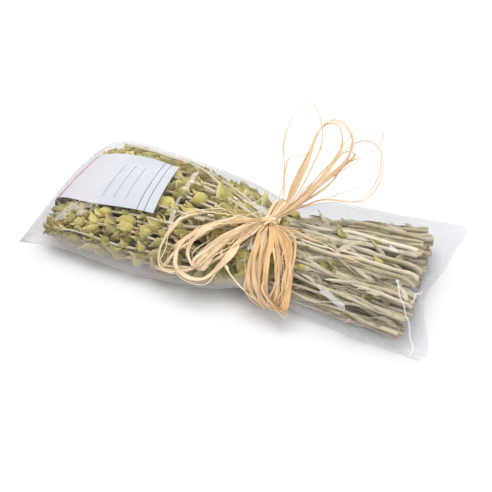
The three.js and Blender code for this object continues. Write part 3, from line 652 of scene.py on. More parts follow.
class Shader:
    """A material's node tree around one Principled shader."""

    def __init__(self, name):
        self.material = bpy.data.materials.new(name)
        self.material.use_nodes = True
        self.tree = self.material.node_tree
        self.surface = next(n for n in self.tree.nodes if n.type == "BSDF_PRINCIPLED")
        self.output = next(n for n in self.tree.nodes if n.type == "OUTPUT_MATERIAL")

    def feed(self, socket, value):
        if isinstance(value, Value):
            self.tree.links.new(value.socket, socket)
        elif isinstance(value, bpy.types.NodeSocket):
            self.tree.links.new(value, socket)
        elif isinstance(value, Color):
            socket.default_value = (*value, 1)
        else:
            socket.default_value = value

    def node(self, kind, settings=None, **values):
        node = self.tree.nodes.new(kind)
        for key, value in (settings or {}).items():
            setattr(node, key, value)
        for key, value in values.items():
            self.feed(node.inputs[key.replace("_", " ")], value)
        return node

    def attribute(self, name):
        return Value(self, self.node("ShaderNodeAttribute", {"attribute_name": name}).outputs["Fac"])

    def parts(self, vector):
        separate = self.node("ShaderNodeSeparateXYZ", Vector=vector)
        return [Value(self, separate.outputs[axis]) for axis in "XYZ"]

    def split(self, name):
        """The three numbers of a vector attribute."""
        return self.parts(self.node("ShaderNodeAttribute", {"attribute_name": name}).outputs["Vector"])

    def place(self):
        return self.node("ShaderNodeTexCoord").outputs["Object"]

    def stretched(self, scale):
        """The place, stretched so that a pattern runs along the axes with a small scale."""
        node = self.node("ShaderNodeVectorMath", {"operation": "MULTIPLY"})
        self.feed(node.inputs[0], self.place())
        node.inputs[1].default_value = scale
        return node.outputs["Vector"]

    def noise(self, scale, vector=None, detail=3.0, rough=0.55, distortion=0.0):
        node = self.node(
            "ShaderNodeTexNoise",
            Vector=vector or self.place(),
            Scale=scale,
            Detail=detail,
            Roughness=rough,
            Distortion=distortion,
        )
        return Value(self, node.outputs["Fac"])

    def blend(self, share, first, second):
        """The first colour where the share is 0, the second where it is 1."""
        node = self.node("ShaderNodeMix", {"data_type": "RGBA"})
        for socket, value in zip((node.inputs[0], node.inputs[6], node.inputs[7]), (share, first, second)):
            self.feed(socket, value)
        return node.outputs[2]

    def bump(self, height, strength, distance):
        node = self.node("ShaderNodeBump", Height=height, Strength=strength, Distance=distance)
        return node.outputs["Normal"]

    def either(self, share, first, second):
        """The first shader where the share is 0, the second where it is 1."""
        node = self.node("ShaderNodeMixShader")
        for socket, value in zip(node.inputs, (share, first, second)):
            self.feed(socket, value)
        return node.outputs["Shader"]

    def finish(self, color, roughness, normal=None, **constants):
        """Feeds the Principled shader and returns the material."""
        for key, value in (("Base Color", color), ("Roughness", roughness), ("Normal", normal)):
            if value is not None:
                self.feed(self.surface.inputs[key], value)
        for key, value in constants.items():
            self.surface.inputs[key.replace("_", " ")].default_value = value
        return self.material


def bract_material(colors):
    """Dry yellow-green bracts with net veins, darker calyces, orange petals and pale stems, with painted
    shade inside the bracts' cups and low in the bunch.
    """
    s = Shader("tea bract")
    part = s.attribute("part")
    tone = s.attribute("tone")
    u, v, inner = s.split("blade")
    mottle = s.noise(260.0, detail=4.0)
    patch = s.noise(70.0)
    veins = (abs(u) * 5.0 + v * 3.0).waves().ramp(0.0, 0.16)
    # painted shade: the lower a place lies in the bunch, the darker it is painted
    low = 1.0 - s.parts(s.place())[2].ramp(0.006, 0.038)
    age = (tone * 0.9 + patch * 1.1 - 0.55).clamped()
    leaf = s.blend(age, colors.bract, colors.bract_dark)
    leaf = s.blend(s.noise(150.0, detail=3.0).ramp(0.5, 0.7) * 0.5, leaf, colors.bract_old)
    leaf = s.blend((1.0 - veins) * 0.3, leaf, colors.bract_edge)
    leaf = s.blend((abs(u).ramp(0.7, 1.0) + v.ramp(0.75, 1.0)).clamped() * 0.6, leaf, colors.bract_edge)
    leaf = s.blend(mottle.ramp(0.58, 0.74) * 0.6, leaf, colors.brown)
    # painted shade on the bracts' inner, cupped side
    leaf = s.blend(inner * 0.6, leaf, colors.painted_bract_shade)
    calyx = s.blend(v.ramp(0.2, 0.95), colors.bract_dark, colors.bract)
    petal = s.blend(mottle, colors.petal, colors.brown)
    stem = s.blend(s.noise(500.0, s.stretched((0.15, 1, 1))), colors.stem, colors.stem_dark)
    color = s.blend(part.ramp(0.1, 0.9), stem, leaf)
    color = s.blend(part.ramp(1.1, 1.9), color, calyx)
    color = s.blend(part.ramp(2.1, 2.9), color, petal)
    # painted shade low in the bunch
    color = s.blend(low * 0.5, color, colors.painted_bract_shade)
    height = veins * 0.5 + mottle * 0.6
    return s.finish(
        color,
        0.62 + mottle * 0.25,
        s.bump(height, 0.5, 0.0004),
        Sheen_Weight=0.25,
        Sheen_Roughness=0.6,
        Specular_IOR_Level=0.35,
    )


def stalk_material(colors):
    """Woolly square stalks, narrow grey-green leaves with pale midribs, and a few bracts, darker low in the
    bunch as painted shade.
    """
    s = Shader("tea stalk")
    part = s.attribute("part")
    tone = s.attribute("tone")
    u, v, _ = s.split("blade")
    wool = s.noise(900.0, s.stretched((0.25, 1, 1)), detail=4.0)
    patch = s.noise(60.0)
    shade = (patch * 0.9 + wool * 0.8 + tone * 0.9 - 0.7).clamped()
    stem = s.blend(shade, colors.stem_dark, colors.stem)
    leaf = s.blend((tone * 1.7 + patch * 0.5 - 0.6).clamped(), colors.leaf, colors.leaf_pale)
    leaf = s.blend(s.noise(300.0).ramp(0.6, 0.8) * 0.5, leaf, colors.old_leaf_and_painted_shade)
    ribs = (abs(u) * 2.4 + wool * 0.4).waves().ramp(0.05, 0.3)
    leaf = s.blend((1.0 - ribs) * 0.5, leaf, colors.old_leaf_and_painted_shade)
    leaf = s.blend((1.0 - abs(u).ramp(0.0, 0.16)) * 0.6, leaf, colors.stem)
    bract = s.blend((tone * 0.8 + patch - 0.4).clamped(), colors.bract, colors.bract_dark)
    bract = s.blend((abs(u) * 0.6 + v * 0.5).ramp(0.7, 1.0) * 0.5, bract, colors.bract_edge)
    color = s.blend(part.ramp(0.1, 0.9), stem, bract)
    color = s.blend(part.ramp(3.1, 3.9), color, leaf)
    # painted shade: the lower a place lies in the bunch, the darker it is painted
    low = 1.0 - s.parts(s.place())[2].ramp(0.008, 0.034)
    color = s.blend(low * 0.45, color, colors.old_leaf_and_painted_shade)
    creases = (v * 26.0 + abs(u) * 3.0).waves()
    height = wool * 0.8 + (creases * 0.5 + ribs) * part.clamped() * 0.7
    return s.finish(
        color,
        0.8,
        s.bump(height, 0.55, 0.0004),
        Sheen_Weight=0.3,
        Sheen_Roughness=0.5,
        Specular_IOR_Level=0.25,
    )


def film_material(colors):
    """Clear film: seen through and lightly hazy, with painted highlights along its creases and folds, painted
    sheen in patches and towards its sides, and a painted pink reflection of the card beside the flowers.
    """
    s = Shader("clear film")
    along = s.parts(s.place())[0]
    crumple = s.noise(38.0, s.stretched((0.5, 1.2, 1.0)), detail=3.0, rough=0.5, distortion=0.4)
    ridge = (1.0 - abs(crumple - 0.5) * 14.0).clamped()
    fine = s.noise(19.0, s.stretched((0.7, 1.3, 1.0)), detail=4.0, distortion=0.8)
    # painted glints: thin white lines along the fine creases
    lines = (1.0 - abs(fine - 0.5) * 70.0).clamped()
    normal = s.bump(ridge * 0.5 + crumple, 0.2, 0.0012)
    facets = s.node("ShaderNodeTexVoronoi", Vector=s.stretched((0.6, 1.0, 1.0)), Scale=240.0)
    facet = Value(s, facets.outputs["Color"])
    torn = (facet - 0.5) * 1.1 + (s.noise(420.0, detail=2.0) - 0.5) * 0.6
    # painted highlight: torn white facets along the sharp creases
    sharp = (torn + 1.0 - s.attribute("crease_away")).ramp(0.36, 0.5) * (facet * 0.6 + 0.4)
    # painted sheen: white patches over the film
    haze = s.noise(24.0, detail=3.0).ramp(0.55, 0.9) * colors.painted_sheen_patch + lines * colors.painted_crease_glint
    # partly the film's own haze and partly painted sheen and brightening towards the sides and ends,
    # strongest on the near side
    haze = haze + colors.haze + s.attribute("margin") * colors.margin_haze_and_sheen
    haze = haze + sharp * s.attribute("crease") * colors.painted_crease_highlight
    # painted highlight along the long folds at the open end
    for off, beside in zip(s.split("fold_off"), s.split("fold_beside")):
        haze = haze + (1.0 - abs(off) * 1.3).clamped() * beside * (crumple + 0.4) * colors.painted_fold_highlight
    clear = s.node("ShaderNodeBsdfTransparent", Color=colors.film_tint)
    gloss = s.node("ShaderNodeBsdfGlossy", Color=(1, 1, 1, 1), Roughness=0.12, Normal=normal)
    facing = Value(s, s.node("ShaderNodeLayerWeight", Blend=0.5, Normal=normal).outputs["Facing"])
    sheet = s.either(facing ** 4.0 * 0.55 + 0.01, clear.outputs["BSDF"], gloss.outputs["BSDF"])
    # the haze beside the flowers is tinted pink as a painted reflection of the card
    milk = s.blend(along.ramp(-0.05, 0.03), colors.warm_haze_and_card_reflection, colors.film_haze)
    milk = s.blend(along.ramp(-0.162, -0.152), colors.corner_haze, milk)
    s.finish(milk, 0.4, normal)
    film = s.either(haze.clamped(), sheet, s.surface.outputs["BSDF"])
    s.feed(s.output.inputs["Surface"], film)
    return s.material


def card_material(colors):
    """White card with thin rules down and across it, a coloured fold, a tinted back and painted shade on its
    inner side.
    """
    s = Shader("label card")
    across, down, inner = s.split("sheet")
    fibre = s.noise(900.0, detail=2.0)
    front = s.blend(down.ramp(40.0, 52.0), colors.card, colors.card_warm)
    front = s.blend(fibre * 0.4, front, colors.card_fibres_and_painted_shade)

    def rules(width, *places):
        return sum((abs(down - place).less(width) for place in places), 0.0)

    front = s.blend(rules(0.3, 7.0, 12.5).clamped() * 0.8, front, colors.rule)
    short = (rules(0.45, 24.0, 33.0, 42.0) * abs(across + 4.0).less(18.0)).clamped()
    front = s.blend(short * 0.35, front, colors.rule)
    folded = down.ramp(colors.fold_start, colors.fold_start + 0.4)
    color = s.blend(folded, front, colors.fold)
    color = s.blend(down.ramp(colors.fold_start + 3.0, colors.fold_start + 3.4), color, colors.card_back)
    # painted shade on the card's inner side, which faces the herbs
    color = s.blend(inner.ramp(0.4, 0.6), color, colors.card_fibres_and_painted_shade)
    return s.finish(color, 0.42, s.bump(fibre, 0.08, 0.0002), Specular_IOR_Level=0.5)


def raffia_material(colors):
    """Pale tan leaf strips, streaked along their length; the near loops are made tanner as painted shade."""
    s = Shader("raffia")
    ahead, tone = s.attribute("ahead"), s.attribute("tone")
    across = s.attribute("crosswise")
    lanes = s.node("ShaderNodeCombineXYZ", X=ahead * 0.12 + tone * 40.0, Y=across * 9.0, Z=tone * 17.0)
    streaks = s.noise(1.0, lanes.outputs["Vector"], detail=5.0, rough=0.7)
    patch = s.noise(1.0, s.node("ShaderNodeCombineXYZ", X=ahead * 0.06 + tone * 31.0).outputs["Vector"])
    share = (tone * 0.6 + patch * 1.1 - 0.3).clamped()
    color = s.blend(share, colors.pale, colors.tan)
    color = s.blend(streaks.ramp(0.52, 0.8) * 0.6, color, colors.brown)
    return s.finish(
        color,
        0.42 + streaks * 0.3,
        s.bump(streaks, 0.7, 0.0003),
        Sheen_Weight=0.15,
        Specular_IOR_Level=0.5,
    )


# Settings


def tint(label, default):
    return bpy.props.FloatVectorProperty(
        name=label, description=f"{label}, linear", default=default, size=3, min=0, max=1, subtype="COLOR"
    )


def count_of(label, description, default, most, least=0):
    return bpy.props.IntProperty(name=label, description=description, default=default, min=least, max=most)


def factor(label, description, default):
    return bpy.props.FloatProperty(
        name=label, description=description, default=default, min=0, max=1, subtype="FACTOR"
    )


def angle(label, description, degrees):
    return bpy.props.FloatProperty(
        name=label, description=description, default=math.radians(degrees), subtype="ANGLE", unit="ROTATION"
    )


def measure(label, description, default, most):
    return bpy.props.FloatProperty(
        name=label, description=description, default=default, min=0, max=most,
        subtype="DISTANCE", unit="LENGTH",
    )


def millimetres(label, description, default, least, most):
    return bpy.props.FloatProperty(name=label, description=description, default=default, min=least, max=most)


class TEA_PG_herb(bpy.types.PropertyGroup):
    """Colours and counts of the sprigs."""

    bract: tint("Bract", (0.72, 0.6, 0.18))
    bract_dark: tint("Old bract", (0.2, 0.17, 0.04))
    bract_edge: tint("Bract edge", (0.86, 0.76, 0.36))
    bract_old: tint("Straw bract", (0.66, 0.52, 0.2))
    # painted shade inside the bracts' cups and low in the bunch
    painted_bract_shade: tint("Painted bract shade", (0.14, 0.12, 0.03))
    brown: tint("Brown spots", (0.24, 0.12, 0.03))
    petal: tint("Dried petal", (0.9, 0.5, 0.1))
    stem: tint("Stem", (0.87, 0.78, 0.59))
    stem_dark: tint("Stem shade", (0.46, 0.37, 0.23))
    leaf: tint("Leaf", (0.5, 0.45, 0.27))
    leaf_pale: tint("Woolly leaf", (0.84, 0.77, 0.6))
    # old leaf colour, also painted as shade low in the bunch
    old_leaf_and_painted_shade: tint("Old leaf and painted shade", (0.2, 0.16, 0.07))
    calyces: count_of("Calyces", "Flower cups in each whorl", 6, 10)
    fellow_spikes: count_of("Fellow spikes", "Thinner spikes beside each flower spike", 2, 4)
    fellow_stalks: count_of("Fellow stalks", "Thinner stalks beside each leafy stalk", 4, 7)
    extra_leaves: count_of("Extra leaves", "Leaves on a stalk beside its three pairs", 17, 24)


class TEA_PG_film(bpy.types.PropertyGroup):
    """Size and look of the film."""

    columns: count_of("Columns", "Facets across each side of the bag", 84, 160, 16)
    pleat: measure("Pleat depth", "Depth of the gathers at the tie", 0.0016, 0.005)
    film_tint: tint("Film", (0.915, 0.92, 0.93))
    film_haze: tint("Haze", (0.79, 0.77, 0.76))
    # haze colour beside the flowers, tinted as a painted reflection of the card
    warm_haze_and_card_reflection: tint("Haze with painted card reflection beside the flowers", (0.8, 0.72, 0.68))
    corner_haze: tint("Haze in the near corner", (0.4, 0.39, 0.39))
    haze: factor("Haze", "Share of white haze all over", 0.004)
    # partly real haze, partly painted sheen towards the sides
    margin_haze_and_sheen: factor("Haze and painted sheen at the creases", "Haze and painted sheen added towards the bag's sides", 0.15)
    # painted highlight along the sharp creases
    painted_crease_highlight: factor("Bright creases", "Painted highlight along the sharp creases", 0.8)
    # painted highlight along the long folds at the open end
    painted_fold_highlight: factor("Long folds", "Painted highlight along the folds at the open end", 0.9)
    # painted glints along the fine creases
    painted_crease_glint: factor("Fine creases", "Painted glints along the fine creases", 0.05)
    # painted sheen in patches
    painted_sheen_patch: factor("Painted sheen in patches", "Painted sheen added in patches", 0.04)


class TEA_PG_card(bpy.types.PropertyGroup):
    """Look of the folded card."""

    card: tint("Card", (0.64, 0.67, 0.695))
    card_warm: tint("Card near the fold", (0.75, 0.7, 0.73))
    # fibre colour, also painted as shade on the card's inner side
    card_fibres_and_painted_shade: tint("Card fibres and painted shade", (0.6, 0.62, 0.65))
    rule: tint("Rules", (0.03, 0.03, 0.04))
    fold: tint("Fold", (0.5, 0.03, 0.05))
    card_back: tint("Back", (0.42, 0.22, 0.27))
    fold_start: millimetres("Fold start", "From the front's edge to the coloured fold, mm", 76.9, 60, 90)


class TEA_PG_raffia(bpy.types.PropertyGroup):
    """Look of the raffia."""

    pale: tint("Pale raffia", (0.95, 0.81, 0.57))
    # tan colour, also laid more thickly on the near loops as painted shade
    tan: tint("Tan raffia", (0.76, 0.47, 0.21))
    brown: tint("Raffia streaks", (0.5, 0.29, 0.13))
    echoes: count_of("Thin strips", "Thinner strips that follow each loop", 3, 4)
    band_strips: count_of("Strips round the waist", "Strips wound round the bag", 6, 12, 1)


class TEA_PG_stage(bpy.types.PropertyGroup):
    """Camera, floor and light."""

    azimuth: angle("Azimuth", "Camera's turn from the front", 18)
    elevation: angle("Elevation", "Camera's height angle", 44)
    distance: measure("Distance", "From the camera to its aim", 1.25, 10)
    lens: millimetres("Lens", "Focal length, mm", 114.33, 20, 300)
    floor: tint("Floor", (0.78, 0.78, 0.785))


# The film bag


# Sharp creases with a painted highlight along each, as lines on the plan: from, to, width and the highlight's
# brightness.
PAINTED_CREASE_HIGHLIGHTS = (
    ((-44.6, 23.2), (-47.4, -17.8), 3.0, 0.75),
    ((-46.9, -26), (-46.4, -39.5), 2.6, 0.8),
    ((-1.1, 9.7), (21.5, 5.9), 3.0, 0.8),
    ((-0.2, 19.8), (16.6, -1.8), 2.4, 0.8),
    ((7.8, 26.2), (19, 1), 2.2, 0.7),
    ((12.8, -23), (22.3, -39.9), 1.6, 0.9),
    ((17.1, -21.3), (16.6, -39.6), 1.4, 0.8),
    ((76.6, -52), (99.9, -62.5), 2.6, 0.9),
    ((83, -52.5), (93.3, -60.7), 2.4, 0.8),
    ((-138.9, -40.6), (-108.2, -30.5), 7.0, 0.55),
    ((-145, 56), (-93.1, 44), 8.0, 0.5),
    ((74.7, 36.5), (86.8, 24.1), 1.8, 0.6),
    ((115.4, -0.4), (125.2, -5.1), 2.6, 0.8),
    ((133.2, -33.5), (143.1, -47.2), 3.0, 0.7),
    ((-34.6, -28.7), (-30.4, -31.4), 2.4, 0.8),
    ((-57.6, 62), (-25, 50), 1.6, 0.4),
    ((36.3, 30), (64.9, 25), 2.0, 0.5),
)
# Long folds near the open end, with a painted highlight along each without a break: from and to on the plan.
LONG_FOLDS = (
    ((133, -34), (157.3, -83.5)),
    ((150.9, -21.9), (146.6, -48.2)),
    ((162.7, 60.8), (151.1, 37.8)),
)


def long_folds(x, y):
    """How far off each long fold a plan point lies, and whether it lies beside it."""
    off, beside = [], []
    for (ax, ay), (bx, by) in LONG_FOLDS:
        long = math.hypot(bx - ax, by - ay)
        ux, uy = (bx - ax) / long, (by - ay) / long
        ahead = (x - ax) * ux + (y - ay) * uy
        sway = 0.8 * math.sin(ahead * 0.16) + 0.4 * math.sin(ahead * 0.45 + 2)
        off.append((y - ay) * ux - (x - ax) * uy + sway)
        beside.append(smooth_step(-2, 3, ahead) * (1 - smooth_step(long - 3, long + 2, ahead)))
    return off, beside


CREASE_LIMIT = 3.0  # further off than this many widths a crease doesn't count


def crease_highlight_near(x, y):
    """How far the nearest sharp crease is from a plan point, in its own widths, and how bright its painted
    highlight is.
    """
    nearest, highlight = CREASE_LIMIT, 0.0
    for (ax, ay), (bx, by), width, bright in PAINTED_CREASE_HIGHLIGHTS:
        dx, dy = bx - ax, by - ay
        t = min(1.0, max(0.0, ((x - ax) * dx + (y - ay) * dy) / (dx * dx + dy * dy)))
        taper = 0.35 + 0.65 * math.sin(math.pi * (0.15 + 0.7 * t))
        away = math.hypot(x - ax - t * dx, y - ay - t * dy) / (width * taper)
        if away < nearest:
            nearest, highlight = away, bright
    return nearest, highlight


# The gathers: how many go halfway round the bag, how far they wander, and how far they reach from the tie.
FINE_GATHERS = {"count": 17, "wander": 5, "reach": 13, "phase": 0.0, "share": 1.0}
WIDE_GATHERS = {"count": 7, "wander": 3, "reach": 36, "phase": 1.0, "share": 0.5}
SLACK_DENT = 0.8  # the most that the slack film sinks in away from the tie
END_FOLD = {"depth": 0.25, "more": 0.9, "sharp": 7}
CORNER = {"out": 5.0, "start": 0.45, "full": 0.95, "back": 4.5, "turn": 0.93}
SEAL_STATIONS = (-150.5, -149.4, -148.2, -147.0, -145.5)
STATION_STEP = {"first": -143.5, "near": 1.1, "far": 1.8}


def film_creases(x, u, upper):
    """How far the film is pushed in (millimetres, negative inwards) by its folds."""
    depth = bpy.context.scene.tea_film.pleat / MM
    away = abs(x - TIE_X)
    around = math.pi * (u + 1) / 2 + (0 if upper else math.pi)
    wander = noise.noise(Vector((x * 0.03, around * 1.5, 3.0)))
    push = 0.0
    for gathers in (FINE_GATHERS, WIDE_GATHERS):
        turn = gathers["count"] * around + gathers["wander"] * wander + gathers["phase"]
        rise = gathers["share"] * depth * (0.5 + 0.5 * math.sin(turn))
        push -= rise * math.exp(-away / gathers["reach"])
    slack = noise.noise(Vector((x * 0.035, u * 3.0, 8.0 if upper else 21.0)))
    push += SLACK_DENT * min(0.0, slack) * smooth_step(6, 22, away)
    ends = max(smooth_step(95, 150, x), smooth_step(-110, -148, x))
    fold = noise.noise(Vector((x * 0.02 + 9.0, u * 2.2, 5.0 if upper else 31.0)))
    deep = END_FOLD["depth"] + END_FOLD["more"] * ends
    push -= deep * (1 - min(1.0, abs(fold) * END_FOLD["sharp"])) ** 2
    if not upper:
        push *= 0.25
    return push * (1 - abs(u) ** 8)


def mouth_corner(edge):
    """How far the open end stands out beside its corners, which are rounded."""
    out = CORNER["out"] * smooth_step(CORNER["start"], CORNER["full"], edge)
    return out - CORNER["back"] * smooth_step(CORNER["turn"], 1.0, edge)


def film_stations():
    """Places of the film's rings, closer together at the tie."""
    stations, x = list(SEAL_STATIONS), STATION_STEP["first"]
    while x < MOUTH_X - 2.4:
        stations.append(x)
        x += mix(STATION_STEP["near"], STATION_STEP["far"], smooth_step(6, 30, abs(x - TIE_X)))
    return stations + [MOUTH_X - 1.6, MOUTH_X - 0.8, MOUTH_X]


class TEA_OT_film_bag(bpy.types.Operator):
    """Add the clear film bag, gathered at the tie"""

    bl_idname = "tea.film_bag"
    bl_label = "Film Bag"

    def execute(self, context):
        columns = context.scene.tea_film.columns
        stations = film_stations()
        steps = [j / columns for j in range(columns)]
        shares = [-0.5 * math.cos(math.pi * step) - 0.5 * (1 - 2 * step) for step in steps]
        around = [(u, True) for u in shares] + [(-u, False) for u in shares]
        points, away, light, margin, off, beside = [], [], [], [], [], []
        for x in stations:
            for u, upper in around:
                p = Vector(film_point(x, u, upper))
                nearest, highlight = crease_highlight_near(p.x, p.y)
                away.append(nearest)
                # painted highlight along the sharp creases, weaker on the lower film
                light.append(highlight if upper else 0.3 * highlight)
                fold_off, fold_beside = long_folds(p.x, p.y)
                off.append(fold_off)
                beside.append([share if upper else 0.0 for share in fold_beside])
                # partly the film's own haze and partly painted sheen and brightening, strongest on the near
                # side
                edge = smooth_step(0.88, 0.99, abs(u)) * (2.0 if u < 0 else 1.2)
                margin.append(edge + smooth_step(157, 162, x) + 1.5 * smooth_step(-138, -149, x))
                inward = Vector((0, math.copysign(abs(u) ** 3, u), (1 if upper else -1) * (1 - abs(u) ** 3)))
                depth = film_point(x, u, True)[2] - film_point(x, u, False)[2]
                dent = 0.3 * light[-1] * math.exp(-nearest * nearest)
                p += inward * (film_creases(x, u, upper) - dent) * min(1.0, depth / 12)
                p.x += smooth_step(140, MOUTH_X, x) * mouth_corner(abs(u))
                p.z = max(p.z, 0.0)
                points.append(p)
        ring = 2 * columns
        faces = []
        for i in range(len(stations) - 1):
            for j in range(ring):
                k = (j + 1) % ring
                faces.append((i * ring + j, i * ring + k, (i + 1) * ring + k, (i + 1) * ring + j))
        faces += [(j - 1, j, (ring - j) % ring, (ring - j + 1) % ring) for j in range(2, columns)]
        faces += [(0, 1, ring - 1), (columns - 1, columns, columns + 1)]
        # crease and crease_away place the painted crease highlights
        marks = {"crease": light, "crease_away": away, "margin": margin}
        marks |= {"fold_off": off, "fold_beside": beside}
        piece = mesh_object("film_bag", points, faces, marks)
        recalculate(piece, crisp=math.pi)
        piece.data.materials.append(film_material(context.scene.tea_film))
        piece.visible_shadow = False
        finish_piece(piece, "bag_film")
        return {"FINISHED"}


# The card


# The card's path: rows of its front, its turn and its back, where the back ends, and the turn's depth,
# roundness and length along the sheet.
CARD_ROWS = {"front": 42, "turn": 12, "back": 36, "across": 29}
CARD_FOLD = {"deep": 5, "power": 1.6, "long": 22, "back_end": 16}
CARD_WALL = 0.3


def card_point(across, down, turn, lift):
    """A point of the card: across and down it, turned from its front (0) to its back (1)."""
    u = 2 * across / CARD["width"]
    d = down - lift * math.sin(math.pi * turn)
    bend = (d / CARD["fold"]) ** 4
    tuck = CARD_BEND["corner"] * max(0.0, u) * (1 - smooth_step(0, CARD_BEND["corner_end"], d / CARD["fold"]))
    x = CARD["start_x"] + CARD_BEND["lean"] * u - d * (1 - CARD_BEND["slant"] * u)
    y = CARD["start_y"] + across - CARD_BEND["taper"] * u * bend + CARD_BEND["drift"] * bend - tuck
    front = film_height(x, y, True, FILM_WALL) - CARD_SLACK + CARD["thick"]
    back = film_height(x, y, False, FILM_WALL) + CARD_SLACK - CARD["thick"]
    return (x, y, mix(front, back, turn) - lift * math.cos(math.pi * turn))


class TEA_OT_label_card(bpy.types.Operator):
    """Add the paper card that is folded over the tips"""

    bl_idname = "tea.label_card"
    bl_label = "Label Card"

    def execute(self, context):
        start = CARD["fold"] - CARD_FOLD["deep"]
        path = [(d, 0.0) for d in np.linspace(0, start, CARD_ROWS["front"])]
        for i in range(1, CARD_ROWS["turn"]):
            turn = i / CARD_ROWS["turn"]
            inwards = (1 - math.sin(math.pi * turn)) ** CARD_FOLD["power"]
            path.append((CARD["fold"] - CARD_FOLD["deep"] * inwards, 0.5 - 0.5 * math.cos(math.pi * turn)))
        path += [(d, 1.0) for d in np.linspace(start, CARD_FOLD["back_end"], CARD_ROWS["back"])]
        travelled = [0.0]
        for (d, t), (e, s) in zip(path, path[1:]):
            travelled.append(travelled[-1] + max(abs(e - d), CARD_FOLD["long"] * abs(s - t)))
        columns = CARD_ROWS["across"]
        spots = []

        def place(i, j, depth):
            across = CARD["width"] * (j / (columns - 1) - 0.5)
            down, turn = path[i]
            spots.append((across, travelled[i], 1.0 if depth else 0.0))
            return card_point(across, down, turn, depth)

        points, faces = thin_sheet(len(path), columns, place, CARD_WALL)
        piece = mesh_object("folded_card", points, faces, {"sheet": spots})
        recalculate(piece)
        piece.data.materials.append(card_material(context.scene.tea_card))
        finish_piece(piece, "label_card")
        return {"FINISHED"}


# Kit pieces that the sprigs are grown from, drawn at unit size


PART = {"stem": 0.0, "bract": 1.0, "calyx": 2.0, "petal": 3.0, "leaf": 4.0}  # what a material tells apart


def kit_piece(name, points, faces, part, blade):
    """A piece of unit size with the part that it is and its places on the blade."""
    marks = {"part": [PART[part]] * len(points), "blade": blade}
    piece = mesh_object(name, [tuple(c / MM for c in p) for p in points], faces, marks)
    recalculate(piece)
    bpy.context.scene.collection.objects.unlink(piece)
    return piece


def bract_spot(index, i, u, depth=0.0):
    """A point of a unit bract: row i of its five, u from rim to rim, depth into its wall."""
    v, radius, span, forward = BRACT_ROWS[i]
    flare, close, ruffle, lean = BRACT_KINDS[index]
    radius += flare * max(0.0, v - 0.5) * 1.6 - close * v
    radius += ruffle * math.sin(4.1 * u + 5 * v + 2 * index) * v - depth
    turn = u * math.radians(span) + lean * v
    forward += 0.88 * abs(u) ** 1.5 * v * (1 - v) - 0.1 * (1 - v) * (1 - u * u)
    forward += ruffle * 0.6 * math.sin(7.3 * u + index)
    return (radius * math.cos(turn), radius * math.sin(turn), forward)


def bract_kit(index):
    """A cupped bract that clasps the stem, round in outline and drawn out to a short point."""
    columns = (-1, -0.6, -0.2, 0.2, 0.6, 1)
    blade = []

    def place(i, j, depth):
        blade.append((columns[j], BRACT_ROWS[i][0], 1.0 if depth else 0.0))
        return bract_spot(index, i, columns[j], depth)

    points, faces = thin_sheet(len(BRACT_ROWS), len(columns), place, 0.05)
    return kit_piece(f"0{index}_bract", points, faces, "bract", blade)


def cup_kit(name, part, radii, heights, sides, tooth):
    """A closed little cup along the local Z axis; its last ring is the bottom of the hollow."""
    points, blade, faces = [], [], []
    for i, (radius, height) in enumerate(zip(radii, heights)):
        for j in range(sides):
            turn = 2 * math.pi * j / sides
            rim = tooth * (j % 2) if i == len(radii) - 2 else 0
            points.append((radius * math.cos(turn), radius * math.sin(turn), height + rim))
            blade.append((0.3 if j % 2 else 0.9, height, 0.0))
    for i in range(len(radii) - 1):
        for j in range(sides):
            k = (j + 1) % sides
            faces.append((i * sides + j, i * sides + k, (i + 1) * sides + k, (i + 1) * sides + j))
    last = (len(radii) - 1) * sides
    faces += [tuple(reversed(range(sides))), tuple(range(last, last + sides))]
    return kit_piece(name, points, faces, part, blade)


# How far each kind of leaf curls, twists, folds and bends aside.
LEAF_KINDS = (
    (0.0, 0.3, 0.9, 0.0),
    (0.6, 1.2, 1.3, 0.6),
    (-0.3, -1.4, 1.0, -0.5),
    (1.0, 0.6, 1.5, 0.9),
    (0.4, 2.2, 1.2, -0.9),
)


def leaf_kit(index):
    """A narrow woolly leaf, folded along its midrib and shrivelled in its own way."""
    rows, columns = 9, 3
    blade = []
    curl, twist, fold, side = LEAF_KINDS[index]

    def place(i, j, depth):
        v, u = i / (rows - 1), 2 * j / (columns - 1) - 1
        half = math.sin(math.pi * min(1.0, v * 0.9 + 0.1)) ** 0.7 * 0.96 + 0.04
        half *= 1 + 0.18 * math.sin(11 * v + 3 * index + 2 * u)
        turn = twist * v
        rim = -abs(u) * half * fold * 0.5
        across = u * half * math.cos(turn) - rim * math.sin(turn) * 0.6
        lift = 0.35 + 0.5 * smooth_step(0, 0.2, v) + curl * max(0, v - 0.45) * 1.5
        lift += rim * math.cos(turn) + u * half * math.sin(turn) * 0.5 - depth
        blade.append((u, v, 1.0 if depth else 0.0))
        return (lift, across + side * v * v, v)

    points, faces = thin_sheet(rows, columns, place, 0.1)
    return kit_piece(f"1{index}_leaf", points, faces, "leaf", blade)


def kit_collection(name, pieces):
    """A collection for a tree to pick its pieces from."""
    kit = bpy.data.collections.new(name)
    for piece in pieces:
        kit.objects.link(piece)
    return kit


def clear_kit(kit):
    """Removes a kit once all that needs it has grown."""
    for piece in list(kit.objects):
        bpy.data.objects.remove(piece)
    bpy.data.collections.remove(kit)


